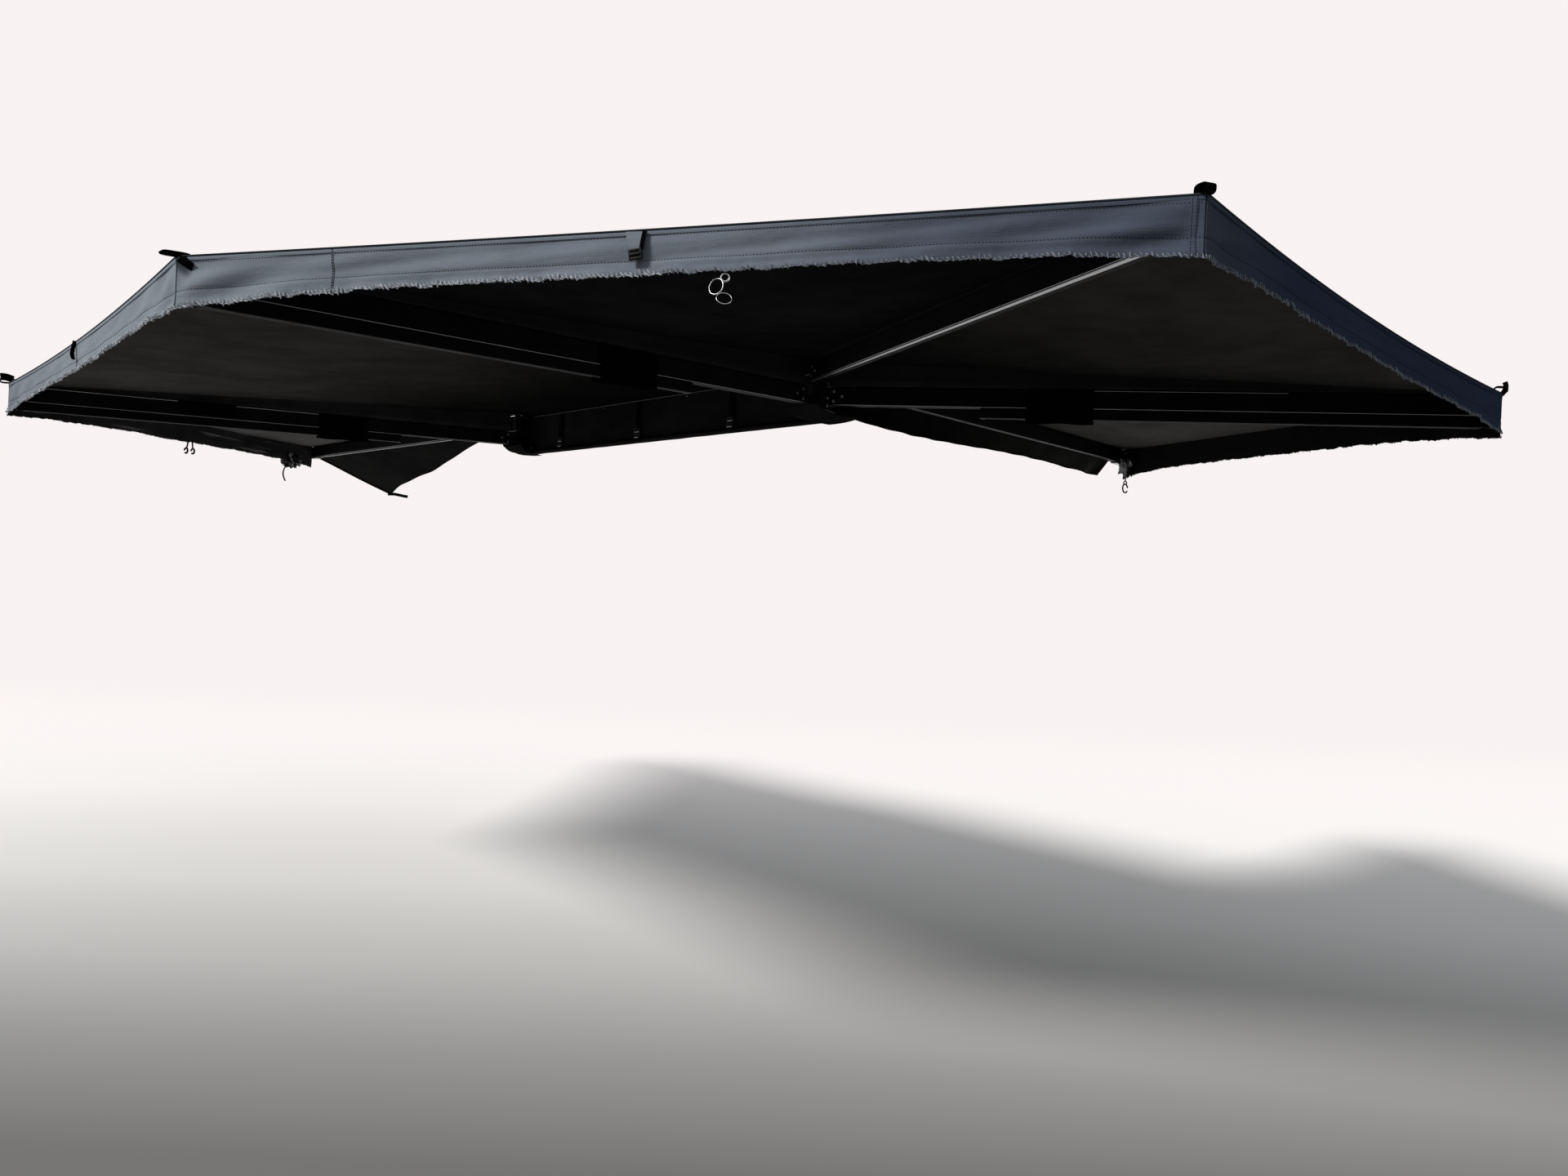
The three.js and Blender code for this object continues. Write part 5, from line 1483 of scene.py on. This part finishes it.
BOLTS = bolt_tree()
KNUCKLE_BOLTS = ((0.066, -0.018), (0.066, 0.018), (0.098, 0.0))
REAR_FACE_HEIGHTS, PLATE_HEIGHTS = (-0.090, -0.060, -0.012, 0.018), ((0.040, 1), (-0.119, -1))
SNAP_PLACES = (0.45, -0.21, -0.87)


def bolt_on(name, places, radius, height, body):
    """Bolts at (point, direction) places, as one plain mesh on a body."""
    data = bpy.data.meshes.new(name)
    data.from_pydata([tuple(point) for point, _ in places], [], [])
    outwards = data.attributes.new("outwards", "FLOAT_VECTOR", "POINT")
    outwards.data.foreach_set("vector", [value for _, direction in places for value in direction])
    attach(grown(link(name, data), BOLTS, {"Radius": radius, "Height": height, "Finish": ZINC}), body)


for letter in ARMS:
    axes = arm_frame(letter)
    places = [
        (axes @ Vector((x, hand * HALF_WIDTH, z)), axes.to_3x3() @ Vector((0, hand, 0)))
        for hand in (-1, 1) for x, z in KNUCKLE_BOLTS
    ]
    bolt_on(f"knuckle_bolts_{letter}", places, 0.0042, 0.0030, f"arm_{letter}")
hub_places = [((-1.105, 0.040, z), (0, 1, 0)) for z in REAR_FACE_HEIGHTS]
for z, up in PLATE_HEIGHTS:
    hub_places += [((1.132, 0.040, z), (0, 0, up)), ((-1.132, 0.060, z), (0, 0, up))]
bolt_on("hub_bolts", hub_places, 0.0046, 0.0032, "base")
bolt_on("bag_snaps", [((x, 0.0432, 0.030), (0, 1, 0)) for x in SNAP_PLACES], 0.0036, 0.0026, "base")
print("bolts", len(hub_places) + len(ARMS) * len(places))

# %% [markdown]
# ## Floor, backdrop and light
#
# The floor is pale far away and darkens towards the viewer. One broad lamp
# stands for a low sun on the awning's long side, and the world fills the rest.
# The world is white for the camera and for reflections, and dimmer as a light.

# %% Stage
FLOOR, FLOOR_HALF = -2.14, 60
BACKDROP = (0.944, 0.892, 0.892)
FLOOR_TONES = [
    (0.0, (0.10, 0.10, 0.099)), (0.225, (0.160, 0.160, 0.158)), (0.28, (0.290, 0.290, 0.287)),
    (0.34, (0.470, 0.465, 0.458)), (0.425, (0.645, 0.638, 0.628)), (0.578, (0.755, 0.742, 0.732)),
    (0.90, (0.790, 0.752, 0.748)),
]
TONE_SCALE, FADE_START, FADE_END = 0.085, 6.5, 13.5
SUN_SIDE, SUN_HEIGHT = math.radians(78), math.radians(40)

corners = [(x * FLOOR_HALF, y * FLOOR_HALF, FLOOR) for x, y in ((-1, -1), (1, -1), (1, 1), (-1, 1))]
floor = link("floor", mesh_from("floor", corners, [(0, 1, 2, 3)], smooth=False))
paint = Recipe("floor_paint", Roughness=0.9, Specular_IOR_Level=0.0)
centred = paint.node("ShaderNodeVectorMath", {"operation": "SUBTRACT"}, {0: paint.place(), 1: tuple(EYE)})
away = paint.dot(centred, tuple(Vector((ahead.x, ahead.y, 0)).normalized()))
tone = paint.node("ShaderNodeValToRGB", {"stops": FLOOR_TONES}, {"Fac": away * TONE_SCALE})
paint.feed(paint.shader.inputs["Base Color"], tone)
glow = paint.node("ShaderNodeEmission", {}, {"Color": (*BACKDROP, 1), "Strength": 1.0})
seen = (paint.seen("Camera") + paint.seen("Glossy")) * paint.between(FADE_START, FADE_END, away)
fade = paint.node("ShaderNodeMixShader", {}, {0: seen, 1: Tap(paint, paint.shader.outputs[0]), 2: glow})
paint.feed(paint.tree.nodes["Material Output"].inputs["Surface"], fade)
floor.data.materials.append(paint.material)

world = bpy.data.worlds.new("surround")
bpy.context.scene.world = world
world.use_nodes = True
sky = Tree(world.node_tree)
backdrop = sky.node("ShaderNodeBackground", {}, {"Color": (*BACKDROP, 1)})
fill = sky.node("ShaderNodeBackground", {}, {"Color": (0.95, 0.97, 1.0, 1), "Strength": 0.50})
seen = sky.math("MAXIMUM", sky.seen("Camera"), sky.seen("Glossy"))
choice = sky.node("ShaderNodeMixShader", {}, {0: seen, 1: fill, 2: backdrop})
sky.feed(sky.tree.nodes["World Output"].inputs["Surface"], choice)

sun_data = bpy.data.lights.new("low_sun", "SUN")
sun_data.energy, sun_data.angle, sun_data.color = 3.9, math.radians(14), (1.0, 0.975, 0.95)
level = math.cos(SUN_HEIGHT)
towards = Vector((math.cos(SUN_SIDE) * level, math.sin(SUN_SIDE) * level, math.sin(SUN_HEIGHT)))
link("low_sun", sun_data).rotation_euler = towards.to_track_quat("Z", "Y").to_euler()
bpy.context.scene.view_settings.view_transform = "Standard"

# %% [markdown]
# ## Finish
#

def declare(pieces, held):
    for made in pieces:
        width, length = made["cloth_cut"]
        min(made["cloth_area"], width * length)


for key, made in bays.items():
    declare([made], "hung" if "flap" in key else "stretched")
declare(valances.values(), "hung")
declare(bag_parts, "hung")
declare(sleeves, "folded")
declare(wraps, "folded")
declare([tab], "hung")
